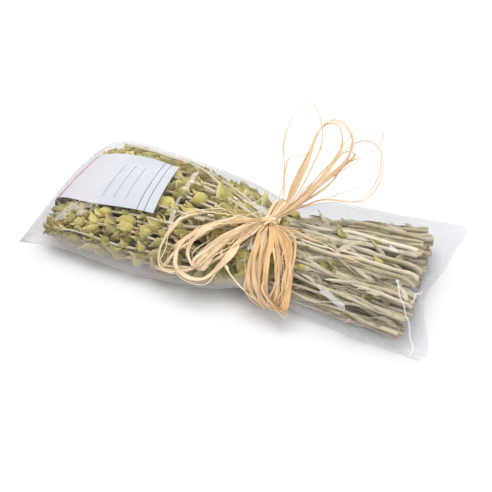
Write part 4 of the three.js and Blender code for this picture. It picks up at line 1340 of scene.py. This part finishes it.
def host_object(name, stems, growth):
    """Stem lines of (place, radius) and growth points of (place, axes, size, kind, tone)."""
    line = [spot for stem in stems for spot in stem]
    edges, start = [], 0
    for stem in stems:
        edges += [(start + i, start + i + 1) for i in range(len(stem) - 1)]
        start += len(stem)
    places, axes, sizes, kinds, tones = zip(*growth)
    stem_tones = [chance(n, 77) for n, stem in enumerate(stems) for _ in stem]
    marks = {
        "is_stem": [True] * len(line) + [False] * len(growth),
        "girth": [radius * MM for _, radius in line] + [0.0] * len(growth),
        "tone": stem_tones + list(tones),
        "kind": [0] * len(line) + list(kinds),
        "aim": [(0, 0, 0)] * len(line) + [tuple(a.to_euler()) for a in axes],
        "size": [(1, 1, 1)] * len(line) + [tuple(s * MM for s in size) for size in sizes],
    }
    return line_object(name, [p for p, _ in line] + list(places), edges, marks)


def inside_film(p, margin):
    """The point, moved no more than it must be to lie this far inside the film."""
    near, far = bag.at("near", p.x) + 2 * margin, bag.at("far", p.x) - 2 * margin
    y = min(max(p.y, near), far)
    low = film_height(p.x, y, False) + margin
    high = max(low, film_height(p.x, y, True) - margin)
    return Vector((p.x, y, min(max(p.z, low), high)))


def out_and_up(turn):
    """The way across the bunch at this turn about its length."""
    return Vector((0, math.cos(turn), math.sin(turn)))


def fellow_point(seat, n, x, apart, margin):
    """Where the sprig's n-th fellow stem runs, close beside it."""
    k = seat["k"]
    turn = 2.1 * n + 2.5 * vary(k, 200 + n) + 0.009 * x * vary(k, 210 + n)
    reach = apart * (1 + 0.2 * math.sin(x * 0.03 + n))
    return inside_film(sprig_point(seat, x) + out_and_up(turn) * reach, margin)


# Fellow stalks: how far they keep from the sprig at the tie and at the cut end, how far they stray there,
# how far they bow and wobble on the way, and how far inside the film they lie.
STRAY = {"tie": 3.6, "cut": 5.0, "aside": 10, "up": 6, "bow": 3.5, "wobble": 0.9, "start": 4, "end": 24}
MARGIN = {"spike": 2.4, "straight": 2.0, "stalk": 4.2}


def straying_point(seat, n, x):
    """The n-th fellow stalk: beside the sprig up to the tie, then straight on to its own cut end."""
    k = seat["k"]
    beside = fellow_point(seat, n, x, STRAY["tie"], MARGIN["spike"])
    if x < TIE_X - STRAY["start"]:
        return beside
    share = (x - TIE_X) / (CUT["x"] - TIE_X)
    stray = Vector((0, STRAY["aside"] * vary(k, 300 + n), STRAY["up"] * vary(k, 310 + n)))
    end = fellow_point(seat, n, CUT["x"], STRAY["cut"], MARGIN["straight"]) + stray
    straight = fellow_point(seat, n, TIE_X, STRAY["tie"], MARGIN["straight"]).lerp(end, share)
    middle = math.sin(math.pi * share)
    bow = Vector((0, vary(k, 320 + n), vary(k, 330 + n))) * (STRAY["bow"] * middle)
    wobble = Vector((0, math.sin(0.13 * x + 6 * vary(k, 325 + n)), math.cos(0.11 * x + n)))
    bow += wobble * (STRAY["wobble"] * middle)
    p = beside.lerp(straight + bow, smooth_step(TIE_X - STRAY["start"], TIE_X + STRAY["end"], x))
    margin = mix(MARGIN["spike"], MARGIN["stalk"], smooth_step(TIE_X, TIE_X + STRAY["end"], x))
    return inside_film(Vector((x, p.y, p.z)), margin)


def axes_along(path, x, angle):
    """Place and axes (outward, sideways, tipward) on a path at x."""
    place = path(x)
    tipward = (path(x - 1) - place).normalized()
    level = Vector((0, 1, 0))
    level = (level - tipward * level.dot(tipward)).normalized()
    outward = Matrix.Rotation(angle, 3, tipward) @ level
    return place, Matrix((outward, tipward.cross(outward), tipward)).transposed()


def whorls(seat):
    """Places of a spike's bract pairs from the stem's foot to its tip."""
    tip, foot = tip_of(seat), split_of(seat) - GAP / 2
    nodes, x, step = [], tip + TIP_ROOM, BRACT_STEP["first"]
    while x < foot - BRACT_STEP["foot"]:
        spaced = min(BRACT_LENGTH, BRACT_GROWTH["length"] * step + BRACT_GROWTH["least"])
        wide = BRACT_GROWTH["reach"] * step + BRACT_GROWTH["narrowest"]
        reach = min(BRACT_REACH, wide, room(seat, x), room(seat, x - spaced))
        nodes.insert(0, (x + BRACT_STEP["stray"] * vary(seat["k"], len(nodes)), spaced, reach))
        x += step
        step = min(BRACT_STEP["most"], step * BRACT_STEP["growth"])
    return nodes


def turned(axes, angle, tilt):
    """Axes turned about the stem and tilted away from it."""
    spin = axes @ Matrix.Rotation(angle, 3, "Z")
    return spin @ Matrix.Rotation(tilt, 3, "Y")


@functools.cache
def wall_height(x, y, upper):
    """The film's height, worked out once for each whole millimetre."""
    return film_height(x, y, upper)


def fits(p, slack=0.0):
    """Whether a point keeps inside the film and off the card."""
    x, y, wall = round(p.x), round(p.y), lining(p.x) - slack
    if not bag.at("near", x) + 2 < y < bag.at("far", x) - 2:
        return False
    return wall_height(x, y, False) + wall <= p.z <= wall_height(x, y, True) - wall


# Rows and places across of the spots at which a bract is held against the film.
BRACT_ENDS = ((4, 0), (3, 0), (3, 1), (3, -1), (2, 0), (2, 1), (2, -1), (1, 0))


def fitted(place, axes, size, kind):
    """The size of a bract, made smaller until its rim and tip lie inside the film, or None."""
    rim = [bract_spot(kind, i, u) for i, u in BRACT_ENDS]
    for _ in range(9):
        spots = [place + axes @ Vector((x * size[0], y * size[1], z * size[2])) for x, y, z in rim]
        if all(fits(p) for p in spots):
            return size
        size = tuple(0.87 * c for c in size)
    return None


def whorl(path, x, reach, length, angle, seed, calyces):
    """Two bracts facing each other, with flower cups between them."""
    growth = []
    for half in (0, 1):
        place, axes = axes_along(path, x, angle + math.pi * half + 0.3 * vary(seed, half))
        wide = reach * (1.1 + 0.16 * vary(seed, 3 + half))
        axes = turned(axes, 0, 0.1 + 0.22 * vary(seed, 9 + half))
        kind = int((0.5 + 0.499 * vary(seed, 5 + half)) * BRACTS)
        size = fitted(place, axes, (wide, wide * (1 + 0.15 * vary(seed, 11 + half)), length), kind)
        if size:
            growth.append((place, axes, size, kind, chance(seed, 7 + half)))
    place, axes = axes_along(path, x - 1.5, angle)
    for c in range(calyces):
        spread = 2 * math.pi * (c + 0.5 + 0.3 * vary(seed, 20 + c)) / calyces
        leaning = turned(axes, spread, 0.5 + 0.15 * vary(seed, 30 + c))
        wide, long = 0.2 * reach, 0.62 * length * (1 + 0.15 * vary(seed, 40 + c))
        root = place + leaning @ Vector((0.5, 0, 0))
        if not fits(root + leaning @ Vector((wide, 0, 1.2 * long))):
            continue
        growth.append((root, leaning, (wide, wide, long), BRACTS, chance(seed, 50 + c)))
        if vary(seed, 60 + c) > 0.6:
            spot = root + leaning @ Vector((0, 0, 0.6 * long))
            growth.append((spot, leaning, (1.4 * wide, 1.4 * wide, 0.6 * long), BRACTS + 1, 0.5))
    return growth


def crowded_tip(path, tip, seed, broad):
    """Buds packed all round the end of a spike."""
    growth = []
    for n in range(84):
        x = tip + 2.5 + 0.36 * n
        place, axes = axes_along(path, x, 2.4 * n + seed)
        swell = math.sin(math.pi * min(1.0, 0.2 + n / 100))
        tilt = 0.5 + 0.3 * vary(seed, 300 + n)
        small = 2.0 + 0.7 * vary(seed, 360 + n)
        place = place + axes.col[0] * (broad * swell * (0.6 + 0.4 * vary(seed, 520 + n)))
        if n % 4:
            kind, size = n % BRACTS, (small, small, 3.6 + 0.8 * vary(seed, 620 + n))
        else:
            kind, size = BRACTS + (n % 8 == 0), (0.8, 0.8, 3.4)
        axes = turned(axes, 0, tilt)
        if fits(place + axes @ Vector((size[0], 0, size[2]))):
            growth.append((place, axes, size, kind, 0.78 + 0.22 * vary(n, 4)))
    return growth


def stem_line(path, start, end, count, thick, thin):
    """Evenly spaced places of a stem along its path, with its radius at each."""
    shares = [i / (count - 1) for i in range(count)]
    return [(path(mix(start, end, share)), mix(thick, thin, share)) for share in shares]


FAR_SIDE = 0.6  # seats from here on lie at the bunch's far edge, where fellow spikes are moved outwards


class TEA_OT_flower_spikes(bpy.types.Operator):
    """Grow the flower spikes from cupped bracts and calyces"""

    bl_idname = "tea.flower_spikes"
    bl_label = "Flower Spikes"

    def execute(self, context):
        settings = context.scene.tea_herb
        cups = [
            cup_kit("10_calyx", "calyx", (0.45, 0.95, 1.1, 0.6), (0, 0.5, 1, 0.8), 6, 0.18),
            cup_kit("11_petal", "petal", (0.5, 0.7, 1.3, 0.5), (0, 0.6, 1, 0.75), 6, 0.3),
        ]
        kit = kit_collection("spike kit", [bract_kit(i) for i in range(BRACTS)] + cups)
        tree = shoot_tree()
        material = bract_material(settings)
        for seat in SEATS:
            k = seat["k"]
            tip, foot = tip_of(seat), split_of(seat) - GAP / 2

            def main_path(x):
                return sprig_point(seat, x)

            stems = [stem_line(main_path, foot, tip, 46, 0.64 * SPIKE_WIDTH, 0.64 * 1.2)]
            growth = []
            for i, (x, length, reach) in enumerate(whorls(seat)):
                angle = TURN * vary(k, 2) + (i % 2 + 0.5) * math.pi / 2
                growth += whorl(main_path, x, reach, length, angle, 31 * k + i, settings.calyces)
            growth += crowded_tip(main_path, tip, k, min(BRACT_REACH, room(seat, tip + 14)) - 1.2)
            for n in range(settings.fellow_spikes):

                def path(x, n=n):
                    beside = fellow_point(seat, n, x, 6.5, 5.6)
                    if seat["side"] < FAR_SIDE:
                        return beside
                    outward = smooth_step(-25, -60, x) * (1 - 0.5 * smooth_step(-120, -150, x))
                    return inside_film(beside + Vector((0, 5 + 5 * n, 5)) * outward, 3.8)

                end = tip + 8 + 14 * chance(k, 220 + n)
                stems.append(stem_line(path, foot, end, 36, 1.12, 0.77))
                x, step = end + 9, 8.0 + 2 * vary(k, 230 + n)
                while x < foot - 6:
                    reach = 4.6 + 1.6 * chance(k, 240 + int(x))
                    angle = 1.57 * int(x / 7) + vary(k, 250 + n)
                    seed, calyces = 17 * k + int(x), settings.calyces // 2
                    growth += whorl(path, x, reach, 1.7 * reach, angle, seed, calyces)
                    x += step
                    step = min(15.0, step * 1.3)
            host = host_object(f"flower_spike_{k + 1:02d}", stems, growth)
            spike = grow(host, tree, Kit=kit, Material=material)
            finish_piece(spike, f"sprig_{k + 1:02d}_spike")
        clear_kit(kit)
        return {"FINISHED"}


# Places at a unit leaf's outside: how far along, how far out and how far to either side.
LEAF_ENDS = [(share, out, side * sign) for share, out, side in ((0.3, 1.0, 1), (0.7, 1.3, 1.4), (1, 1.7, 1.8))
             for sign in (-1, 1)]
LEAF_SLACK = 1.4  # a leaf may come this much closer to the film than a bract


def lying_leaf(path, x, angle, length, reach, lean, seed):
    """A leaf along a stem's own path, leaning a little off it, or nothing where it has no room."""
    place, axes = axes_along(path, x, angle)
    chord = (path(x - 0.8 * length) - place).normalized()
    outward = (axes.col[0] - chord * axes.col[0].dot(chord)).normalized()
    axes = Matrix((outward, chord.cross(outward), chord)).transposed()
    axes = axes @ Matrix.Rotation(lean, 3, "X")
    half_width = 3.0 * (1 + 0.35 * vary(seed, 1))
    kind = BRACTS + int(2.5 + 2.49 * vary(seed, 2))
    for _ in range(8):
        ends = [Vector((out * reach, side * half_width, share * length)) for share, out, side in LEAF_ENDS]
        if all(fits(place + axes @ end, LEAF_SLACK) for end in ends):
            return [(place, axes, (reach, half_width, length), kind, chance(seed, 3))]
        length, reach, half_width = 0.9 * length, 0.8 * reach, 0.9 * half_width
    return []


def paired_leaves(seat, path, cut_end):
    """Three opposite pairs of long leaves, each pair turned a quarter from the next."""
    k, growth = seat["k"], []
    for pair in (2, 1, 0):
        x = min(cut_end - 8, 34 + 10 * vary(k, 8) + 44 * pair + 4 * vary(k, 9 + pair))
        for half in (0, 1):
            length = LEAF_LENGTH * (0.85 + 0.15 * vary(k, 15 + pair + 3 * half))
            reach = min([LEAF_REACH] + [room(seat, x - share * length) for share in (0, 0.35, 0.7, 0.95)])
            angle = TURN * vary(k, 2) + (pair % 2 + 2 * half + 0.5) * math.pi / 2
            growth += lying_leaf(path, x, angle, length, reach, 0.05 * vary(k, pair), 7 * k + pair)
    return growth


def extra_leaves(seat, paths, head, cut_end, most):
    """Short leaves along all the stalks, more of them in the upper rows, and most on the outside."""
    k, growth = seat["k"], []
    outer = -math.atan2(2 * (seat["level"] - 0.4), seat["side"])
    count = int(most * (0.7 + 0.8 * seat["level"]))
    for n in range(count):
        x = mix(head + 26, cut_end - 4, (n + 0.5 + 0.4 * vary(k, 150 + n)) / count)
        length = 23 + 8 * vary(k, 160 + n)
        lean = 0.4 * vary(k, 175 + n) * (2.4 if n % 2 == 0 else 1)
        turn = outer + (0.8 if n % 3 else math.pi) * vary(k, 170 + n)
        growth += lying_leaf(paths[n % len(paths)], x, turn, length, LEAF_REACH, lean, 50 * k + n)
    return growth


def stray_bracts(seat, paths, head):
    """A few single bracts among the stalks, and the lowest whorls of the flowers up to the tie."""
    k, growth = seat["k"], []
    for n in range(3):
        x = 58 + 26 * n + 10 * vary(k, 340 + n)
        path, reach = paths[(n + 1) % len(paths)], 4.0 + vary(k, 350 + n)
        growth += whorl(path, x, reach, 7.5, TURN * vary(k, 360 + n), 23 * k + n, 0)[:1]
    for n, path in enumerate(paths):
        x = head + 13 + 3 * vary(k, 280 + n)
        while x < TIE_X + 14:
            reach = min(7.0, 3.6 + 0.09 * abs(x - TIE_X) + room(seat, x) / 2)
            angle = 1.57 * int(x / 7) + 3 * vary(k, 285 + n)
            growth += whorl(path, x, reach, 1.7 * reach, angle, 19 * k + int(x) + n, 0)
            x += 12 + 3 * vary(k, 290 + n)
    return growth


class TEA_OT_leafy_stalks(bpy.types.Operator):
    """Grow the woolly stalks with their narrow leaves"""

    bl_idname = "tea.leafy_stalks"
    bl_label = "Leafy Stalks"

    def execute(self, context):
        settings = context.scene.tea_herb
        leaves = [leaf_kit(i) for i in range(len(LEAF_KINDS))]
        kit = kit_collection("stalk kit", [bract_kit(i) for i in range(BRACTS)] + leaves)
        tree = shoot_tree()
        material = stalk_material(settings)
        for seat in SEATS:
            k = seat["k"]
            head, cut_end = split_of(seat) + GAP / 2, CUT["x"] + CUT["stray"] * vary(k, 7)

            def main_path(x):
                return sprig_point(seat, x)

            paths = [main_path]
            for n in range(settings.fellow_stalks):
                paths.append(lambda x, n=n: straying_point(seat, n, x))
            stems = []
            for n, path in enumerate(paths):
                end = cut_end + (3.5 * vary(k, 260 + n) - 1.5 if n else 0)
                thick = 0.57 * STALK_WIDTH * (1 if n == 0 else 0.8 + 0.2 * vary(k, 270 + n))
                stem = []
                for i in range(56):
                    x = mix(end, head, i / 55)
                    joint = 0.35 * math.exp(-(((x + 13 * n) % 43 - 21) / 2.0) ** 2)
                    stem.append((path(x), thick * mix(1, 0.72, i / 55) + joint))
                stems.append(stem)
            growth = paired_leaves(seat, main_path, cut_end)
            growth += extra_leaves(seat, paths, head, cut_end, settings.extra_leaves)
            growth += stray_bracts(seat, paths, head)
            host = host_object(f"leafy_stalk_{k + 1:02d}", stems, growth)
            stalk = grow(host, tree, Kit=kit, Material=material)
            finish_piece(stalk, f"sprig_{k + 1:02d}_stalk")
        clear_kit(kit)
        return {"FINISHED"}


class TEA_OT_loose_bracts(bpy.types.Operator):
    """Add the bracts that broke off and lie in the bag's margins"""

    bl_idname = "tea.loose_bracts"
    bl_label = "Loose Bracts"

    def execute(self, context):
        material = bract_material(context.scene.tea_herb)
        for number, bit in enumerate(LOOSE, 1):
            floor = film_height(bit["x"], bit["y"], False) + FILM_WALL + 2 * SLACK
            turn = Matrix.Rotation(bit["heading"], 3, "Z")
            blade = []

            def place(i, j, depth):
                v, u = i / 12, j / 4 - 1
                half = bit["reach"] * 0.82 * math.sin(math.pi * min(1.0, 0.12 + 0.88 * v**0.8)) ** 0.7 + 0.05
                rise = 0.35 * bit["reach"] * (1 - u * u) * (1 - 0.6 * v) + 0.25 * math.sin(9 * v + 3 * u)
                blade.append((u, v, 0.0))
                local = Vector((v * bit["length"], u * half, rise - depth))
                return turn @ local + Vector((bit["x"], bit["y"], floor))

            points, faces = thin_sheet(13, 9, place, 0.35)
            marks = {
                "blade": blade,
                "part": [PART["bract"]] * len(points),
                "tone": [0.2 + 0.3 * number] * len(points),
            }
            piece = mesh_object(f"fallen_bract_{number}", points, faces, marks)
            recalculate(piece)
            piece.data.materials.append(material)
            finish_piece(piece, f"loose_bract_{number}")
        return {"FINISHED"}


# Raffia


def along_line(points):
    """How far along a line each of its points lies."""
    return np.cumsum([0.0] + [(q - p).length for p, q in zip(points, points[1:])])


ROUTE_STEPS = 24  # from one given point of a route to the next


def smooth_route(points, steps):
    """Evenly spaced points of a curve through the given ones."""
    dense = []
    padded = [points[0] * 2 - points[1], *points, points[-1] * 2 - points[-2]]
    for i in range(1, len(padded) - 2):
        a, b, c, d = padded[i - 1 : i + 3]
        for t in (step / ROUTE_STEPS for step in range(ROUTE_STEPS)):
            bend, turn = 2 * a - 5 * b + 4 * c - d, 3 * b - a - 3 * c + d
            dense.append(0.5 * ((2 * b) + (c - a) * t + bend * t**2 + turn * t**3))
    dense.append(points[-1])
    lengths = along_line(dense)
    wanted = np.linspace(0, lengths[-1], steps)
    columns = [np.interp(wanted, lengths, [p[i] for p in dense]) for i in range(3)]
    return [Vector(p) for p in zip(*columns)]


def outline_object():
    """The cross-section of a raffia strip, one unit from its middle to each edge, gently curled."""
    count = 7
    points = []
    for depth in (1, -1):
        for i in range(count):
            u = (2 * i / (count - 1) - 1) * depth
            curl = 0.28 * u * u + 0.05 * math.sin(7 * u)
            points.append((curl + 0.07 * depth * (1 - 0.7 * abs(u)), u, 0))
    mesh = bpy.data.meshes.new("raffia outline")
    mesh.from_pydata(points, [(i, (i + 1) % len(points)) for i in range(len(points))], [])
    set_attributes(mesh, {"crosswise": [u for _, u, _ in points]})
    return bpy.data.objects.new("raffia outline", mesh)


Strip = collections.namedtuple("Strip", "points across widths tone closed", defaults=(False,))


def raffia_piece(name, strips, node, settings):
    """Sweeps many strips into one piece that stands for a node."""
    places, edges, ahead = [], [], []
    marks = {"across": [], "girth": [], "tone": []}
    for strip in strips:
        start, count = len(places), len(strip.points)
        places += strip.points
        edges += [(start + i, start + i + 1) for i in range(count - 1)]
        if strip.closed:
            edges.append((start + count - 1, start))
        marks["across"] += [tuple(a) for a in strip.across]
        marks["girth"] += [w / 2 * MM for w in strip.widths]
        marks["tone"] += [strip.tone] * count
        ahead += list(along_line(strip.points))
    outline = outline_object()
    host = line_object(name, places, edges, {**marks, "ahead": ahead})
    piece = grow(host, strip_tree(), Outline=outline, Material=raffia_material(settings))
    bpy.data.objects.remove(outline)
    finish_piece(piece, node)


# A strip's kinks and jolts, and how it narrows into the knot and towards a tail's end.
KINKS = 10
STRIP_STEPS = 64
TWISTED = 0.7  # radians between kinks, at most
RIPPLE = 0.42  # share of its width by which a strip widens and narrows
PINCH = {"least": 0.45, "until": 0.14}
TAIL_END = {"least": 0.25, "start": 0.7}


def bow_strip(width, twist, route, seed, closed_loop=True, kinked=1.1, tan=1.0):
    """A strip of the bow from the knot along its route, broad side out and turning as it goes."""
    centre = Vector(KNOT["centre"])
    points = [centre, *[Vector(p) for p in route]]
    if closed_loop:
        points.append(centre)
    line = smooth_route(points, STRIP_STEPS)
    last = STRIP_STEPS - 1
    kinks = sorted((i + 0.7 * vary(seed, 31 + i)) / (KINKS - 1) for i in range(KINKS))
    jolts = [[vary(seed + i, 51 + c) for i in range(KINKS)] for c in range(3)]
    turns, pulls = ([vary(seed, use + i) for i in range(KINKS)] for use in (71, 91))

    def at_kinks(share, values):
        return float(np.interp(share, kinks, values))

    across, widths, places = [], [], []
    for i, p in enumerate(line):
        share = i / last
        near_knot = min(share, 1 - share) if closed_loop else share
        free = smooth_step(0.0, PINCH["until"], near_knot)
        onward = (line[min(i + 1, last)] - line[max(i - 1, 0)]).normalized()
        out = Vector((0, p.y - centre.y, p.z - WAIST_Z))
        out = (out - onward * out.dot(onward)).normalized()
        turn = twist * math.cos(math.pi * share) + TWISTED * at_kinks(share, turns) * free
        across.append(Matrix.Rotation(turn, 3, onward) @ out)
        end = 1.0 if closed_loop else mix(1.0, TAIL_END["least"], smooth_step(TAIL_END["start"], 1.0, share))
        widths.append(width * mix(PINCH["least"], 1.0, free) * (1 + RIPPLE * at_kinks(share, pulls)) * end)
        places.append(p + Vector([at_kinks(share, jolt) for jolt in jolts]) * (kinked * free))
    return Strip(places, across, widths, tan * chance(seed, 5))


def shifted(route, seed, amount):
    """The route with each of its points moved at random by up to this much."""
    moves = [Vector([vary(seed + 3 * i, 11 + c) for c in range(3)]) for i in range(len(route))]
    return [Vector(p) + amount * move for p, move in zip(route, moves)]


def echo(loop, n, seed, tan):
    """The n-th thin strip that follows a loop."""
    width, twist, route = loop
    narrow = (0.55, 0.22, 0.16)[n % 3] * width + 0.3
    thin = shifted(route, seed + 7 * n, 1.9 + 0.8 * n)
    return bow_strip(narrow, twist + 0.6 - 1.1 * n, thin, seed + 40 + 20 * n, kinked=1.6 + 0.5 * n, tan=tan)


# The bow's groups of loops: how tan they are, the near loops tanner as painted shade, and how much broader
# than the solids' strips.
LOOP_GROUPS = ((FLOWER_LOOPS, 0.5, 1.15), (NEAR_LOOPS, 1.2, 1.15), (RAISED_LOOPS, 1.0, 0.78))


class TEA_OT_raffia_bow(bpy.types.Operator):
    """Tie the raffia bow: loops over the flowers, down the near side and up behind the knot"""

    bl_idname = "tea.raffia_bow"
    bl_label = "Raffia Bow"

    def execute(self, context):
        settings = context.scene.tea_raffia
        strips, seed = [], 1
        for loops, tan, broad in LOOP_GROUPS:
            for width, twist, route in loops:
                strips.append(bow_strip(width * broad, twist, route, seed, tan=tan))
                echoes = int(width - 0.5) if loops is RAISED_LOOPS else settings.echoes
                strips += [echo((width, twist, route), n, seed, tan) for n in range(echoes)]
                seed += 1
        for width, twist, route in TAILS:
            strips.append(bow_strip(width, twist, route, seed, closed_loop=False))
            seed += 1
        raffia_piece("raffia_loops", strips + knot_wraps(), "raffia_bow", settings)
        return {"FINISHED"}


def knot_wraps():
    """Strips wound tightly over the knot, some across it and some round its neck."""
    wraps, steps = [], 33
    centre = Vector(KNOT["centre"])
    for n in range(6):
        axis = Vector((math.cos(0.5 * n), math.sin(0.4 * n + 0.6), 0.35 * vary(n, 3))).normalized()
        first = axis.orthogonal().normalized()
        second = axis.cross(first)
        points, across = [], []
        for i in range(steps):
            turn = 2 * math.pi * i / (steps - 1)
            out = first * math.cos(turn) + second * math.sin(turn)
            round_knot = Vector((out.x * KNOT["long"], out.y * KNOT["wide"], out.z * KNOT["high"]))
            points.append(centre + round_knot * (0.8 + 0.05 * n) + axis * (1.2 * vary(n, 8)))
            across.append(out)
        wraps.append(Strip(points, across, [2.6] * steps, 0.5 + 0.4 * vary(n, 6)))
    return wraps


def waist_point(turn, x, lift):
    """A point outside the film's section at x, the given way round it, and the way out there."""
    p = Vector(film_point(x, math.cos(turn), math.sin(turn) >= 0))
    middle = (bag.at("near", x) + bag.at("far", x)) / 2
    outward = (p - Vector((x, middle, (bag.at("top", x) + bag.at("bottom", x)) / 2))).normalized()
    return p + outward * lift, outward


BAND = {"half": 4.2, "lean": 1.4, "steps": 96, "lift": 0.5, "width": 3.1, "stray": 0.8, "ripple": 0.4}


class TEA_OT_raffia_band(bpy.types.Operator):
    """Wind the raffia round the waist of the bag"""

    bl_idname = "tea.raffia_band"
    bl_label = "Raffia Band"

    def execute(self, context):
        settings = context.scene.tea_raffia
        strips = []
        for n in range(settings.band_strips):
            middle = TIE_X + mix(-BAND["half"], BAND["half"], n / max(1, settings.band_strips - 1))
            lean = BAND["lean"] * vary(n, 1)
            points, across, widths = [], [], []
            for i in range(BAND["steps"]):
                turn = 2 * math.pi * i / BAND["steps"]
                x = middle + lean * math.sin(turn + n) + 0.3 * math.sin(5 * turn + n)
                p, outward = waist_point(turn, x, BAND_SLACK + BAND["lift"] * (1 + n % 2))
                points.append(p)
                across.append(outward)
                ripple = BAND["ripple"] * math.sin(3 * turn + 2 * n)
                widths.append(BAND["width"] + BAND["stray"] * vary(n, 2) + ripple)
            strips.append(Strip(points, across, widths, chance(n, 4), closed=True))
        raffia_piece("raffia_windings", strips, "raffia_band", settings)
        return {"FINISHED"}


# The stage


FLOOR = {"half": 4000, "drop": 0.3}  # millimetres: half its side, and how far it lies under the film
AIM = (1.35, 4.87, 0)  # millimetres: what the camera looks at
SKY = {"color": (0.97, 0.98, 1, 1), "strength": 0.74}
# Lights, in metres and watts: name, place, target, size, power and whether reflections show it.
LIGHTS = (
    ("key", (-0.1, 0.15, 1.3), (0, 0, 0), (1.0, 0.8), 11, False),
    ("fill", (0.7, -0.8, 1.0), (0, 0, 0), (0.8, 0.8), 3.5, False),
    ("strip", (-0.45, 0.8, 0.75), (-0.03, 0, 0.03), (0.8, 0.05), 0.5, True),
)


def area_light(name, place, target, size, power, glossy):
    """A rectangular light that shines from a place to its target."""
    data = bpy.data.lights.new(name, "AREA")
    data.shape = "RECTANGLE"
    data.size, data.size_y = size
    data.energy = power
    light = add_object(name, data)
    light.location = place
    light.visible_glossy = glossy
    light.rotation_euler = (Vector(target) - Vector(place)).to_track_quat("-Z", "Y").to_euler()


class TEA_OT_stage(bpy.types.Operator):
    """Set the floor, the soft light and the camera"""

    bl_idname = "tea.stage"
    bl_label = "Stage"

    def execute(self, context):
        settings = context.scene.tea_stage
        scene = context.scene
        half, drop = FLOOR["half"], FLOOR["drop"]
        corners = [(x * half, y * half, -drop) for x, y in ((-1, -1), (1, -1), (1, 1), (-1, 1))]
        floor = mesh_object("floor", corners, [(0, 1, 2, 3)])
        floor.data.materials.append(Shader("floor").finish(settings.floor, 0.9, Specular_IOR_Level=0.1))
        world = bpy.data.worlds.new("studio")
        world.use_nodes = True
        backdrop = world.node_tree.nodes["Background"]
        backdrop.inputs["Color"].default_value = SKY["color"]
        backdrop.inputs["Strength"].default_value = SKY["strength"]
        scene.world = world
        for light in LIGHTS:
            area_light(*light)
        turn, rise = settings.azimuth, settings.elevation
        back = Vector((math.sin(turn) * math.cos(rise), -math.cos(turn) * math.cos(rise), math.sin(rise)))
        data = bpy.data.cameras.new("camera")
        data.sensor_width = 36
        data.lens = settings.lens
        data.clip_end = 20
        camera = add_object("camera", data)
        camera.location = Vector(AIM) * MM + back * settings.distance
        camera.rotation_euler = back.to_track_quat("Z", "Y").to_euler()
        scene.camera = camera
        scene.view_settings.view_transform = "Standard"
        return {"FINISHED"}


OPERATORS = (
    TEA_OT_flower_spikes,
    TEA_OT_leafy_stalks,
    TEA_OT_loose_bracts,
    TEA_OT_label_card,
    TEA_OT_film_bag,
    TEA_OT_raffia_band,
    TEA_OT_raffia_bow,
    TEA_OT_stage,
)
GROUPS = {
    "tea_herb": TEA_PG_herb,
    "tea_film": TEA_PG_film,
    "tea_card": TEA_PG_card,
    "tea_raffia": TEA_PG_raffia,
    "tea_stage": TEA_PG_stage,
}


class TEA_PT_bunch(bpy.types.Panel):
    """Settings and pieces of the tea bunch"""

    bl_idname = "TEA_PT_bunch"
    bl_label = "Tea Bunch"
    bl_space_type = "VIEW_3D"
    bl_region_type = "UI"
    bl_category = "Tea Bunch"

    def draw(self, context):
        for operator in OPERATORS:
            self.layout.operator(operator.bl_idname)
        for name, group in GROUPS.items():
            box = self.layout.box()
            for key in group.__annotations__:
                box.prop(getattr(context.scene, name), key)


def register():
    for group in GROUPS.values():
        bpy.utils.register_class(group)
    for operator in OPERATORS:
        bpy.utils.register_class(operator)
    bpy.utils.register_class(TEA_PT_bunch)
    for name, group in GROUPS.items():
        setattr(bpy.types.Scene, name, bpy.props.PointerProperty(type=group))


def unregister():
    for name in GROUPS:
        delattr(bpy.types.Scene, name)
    for cls in (TEA_PT_bunch, *reversed(OPERATORS), *reversed(list(GROUPS.values()))):
        bpy.utils.unregister_class(cls)


def main():
    register()
    for operator in OPERATORS:
        name = operator.bl_idname.split(".")[1]
        getattr(bpy.ops.tea, name)()


if __name__ == "__main__":
    main()
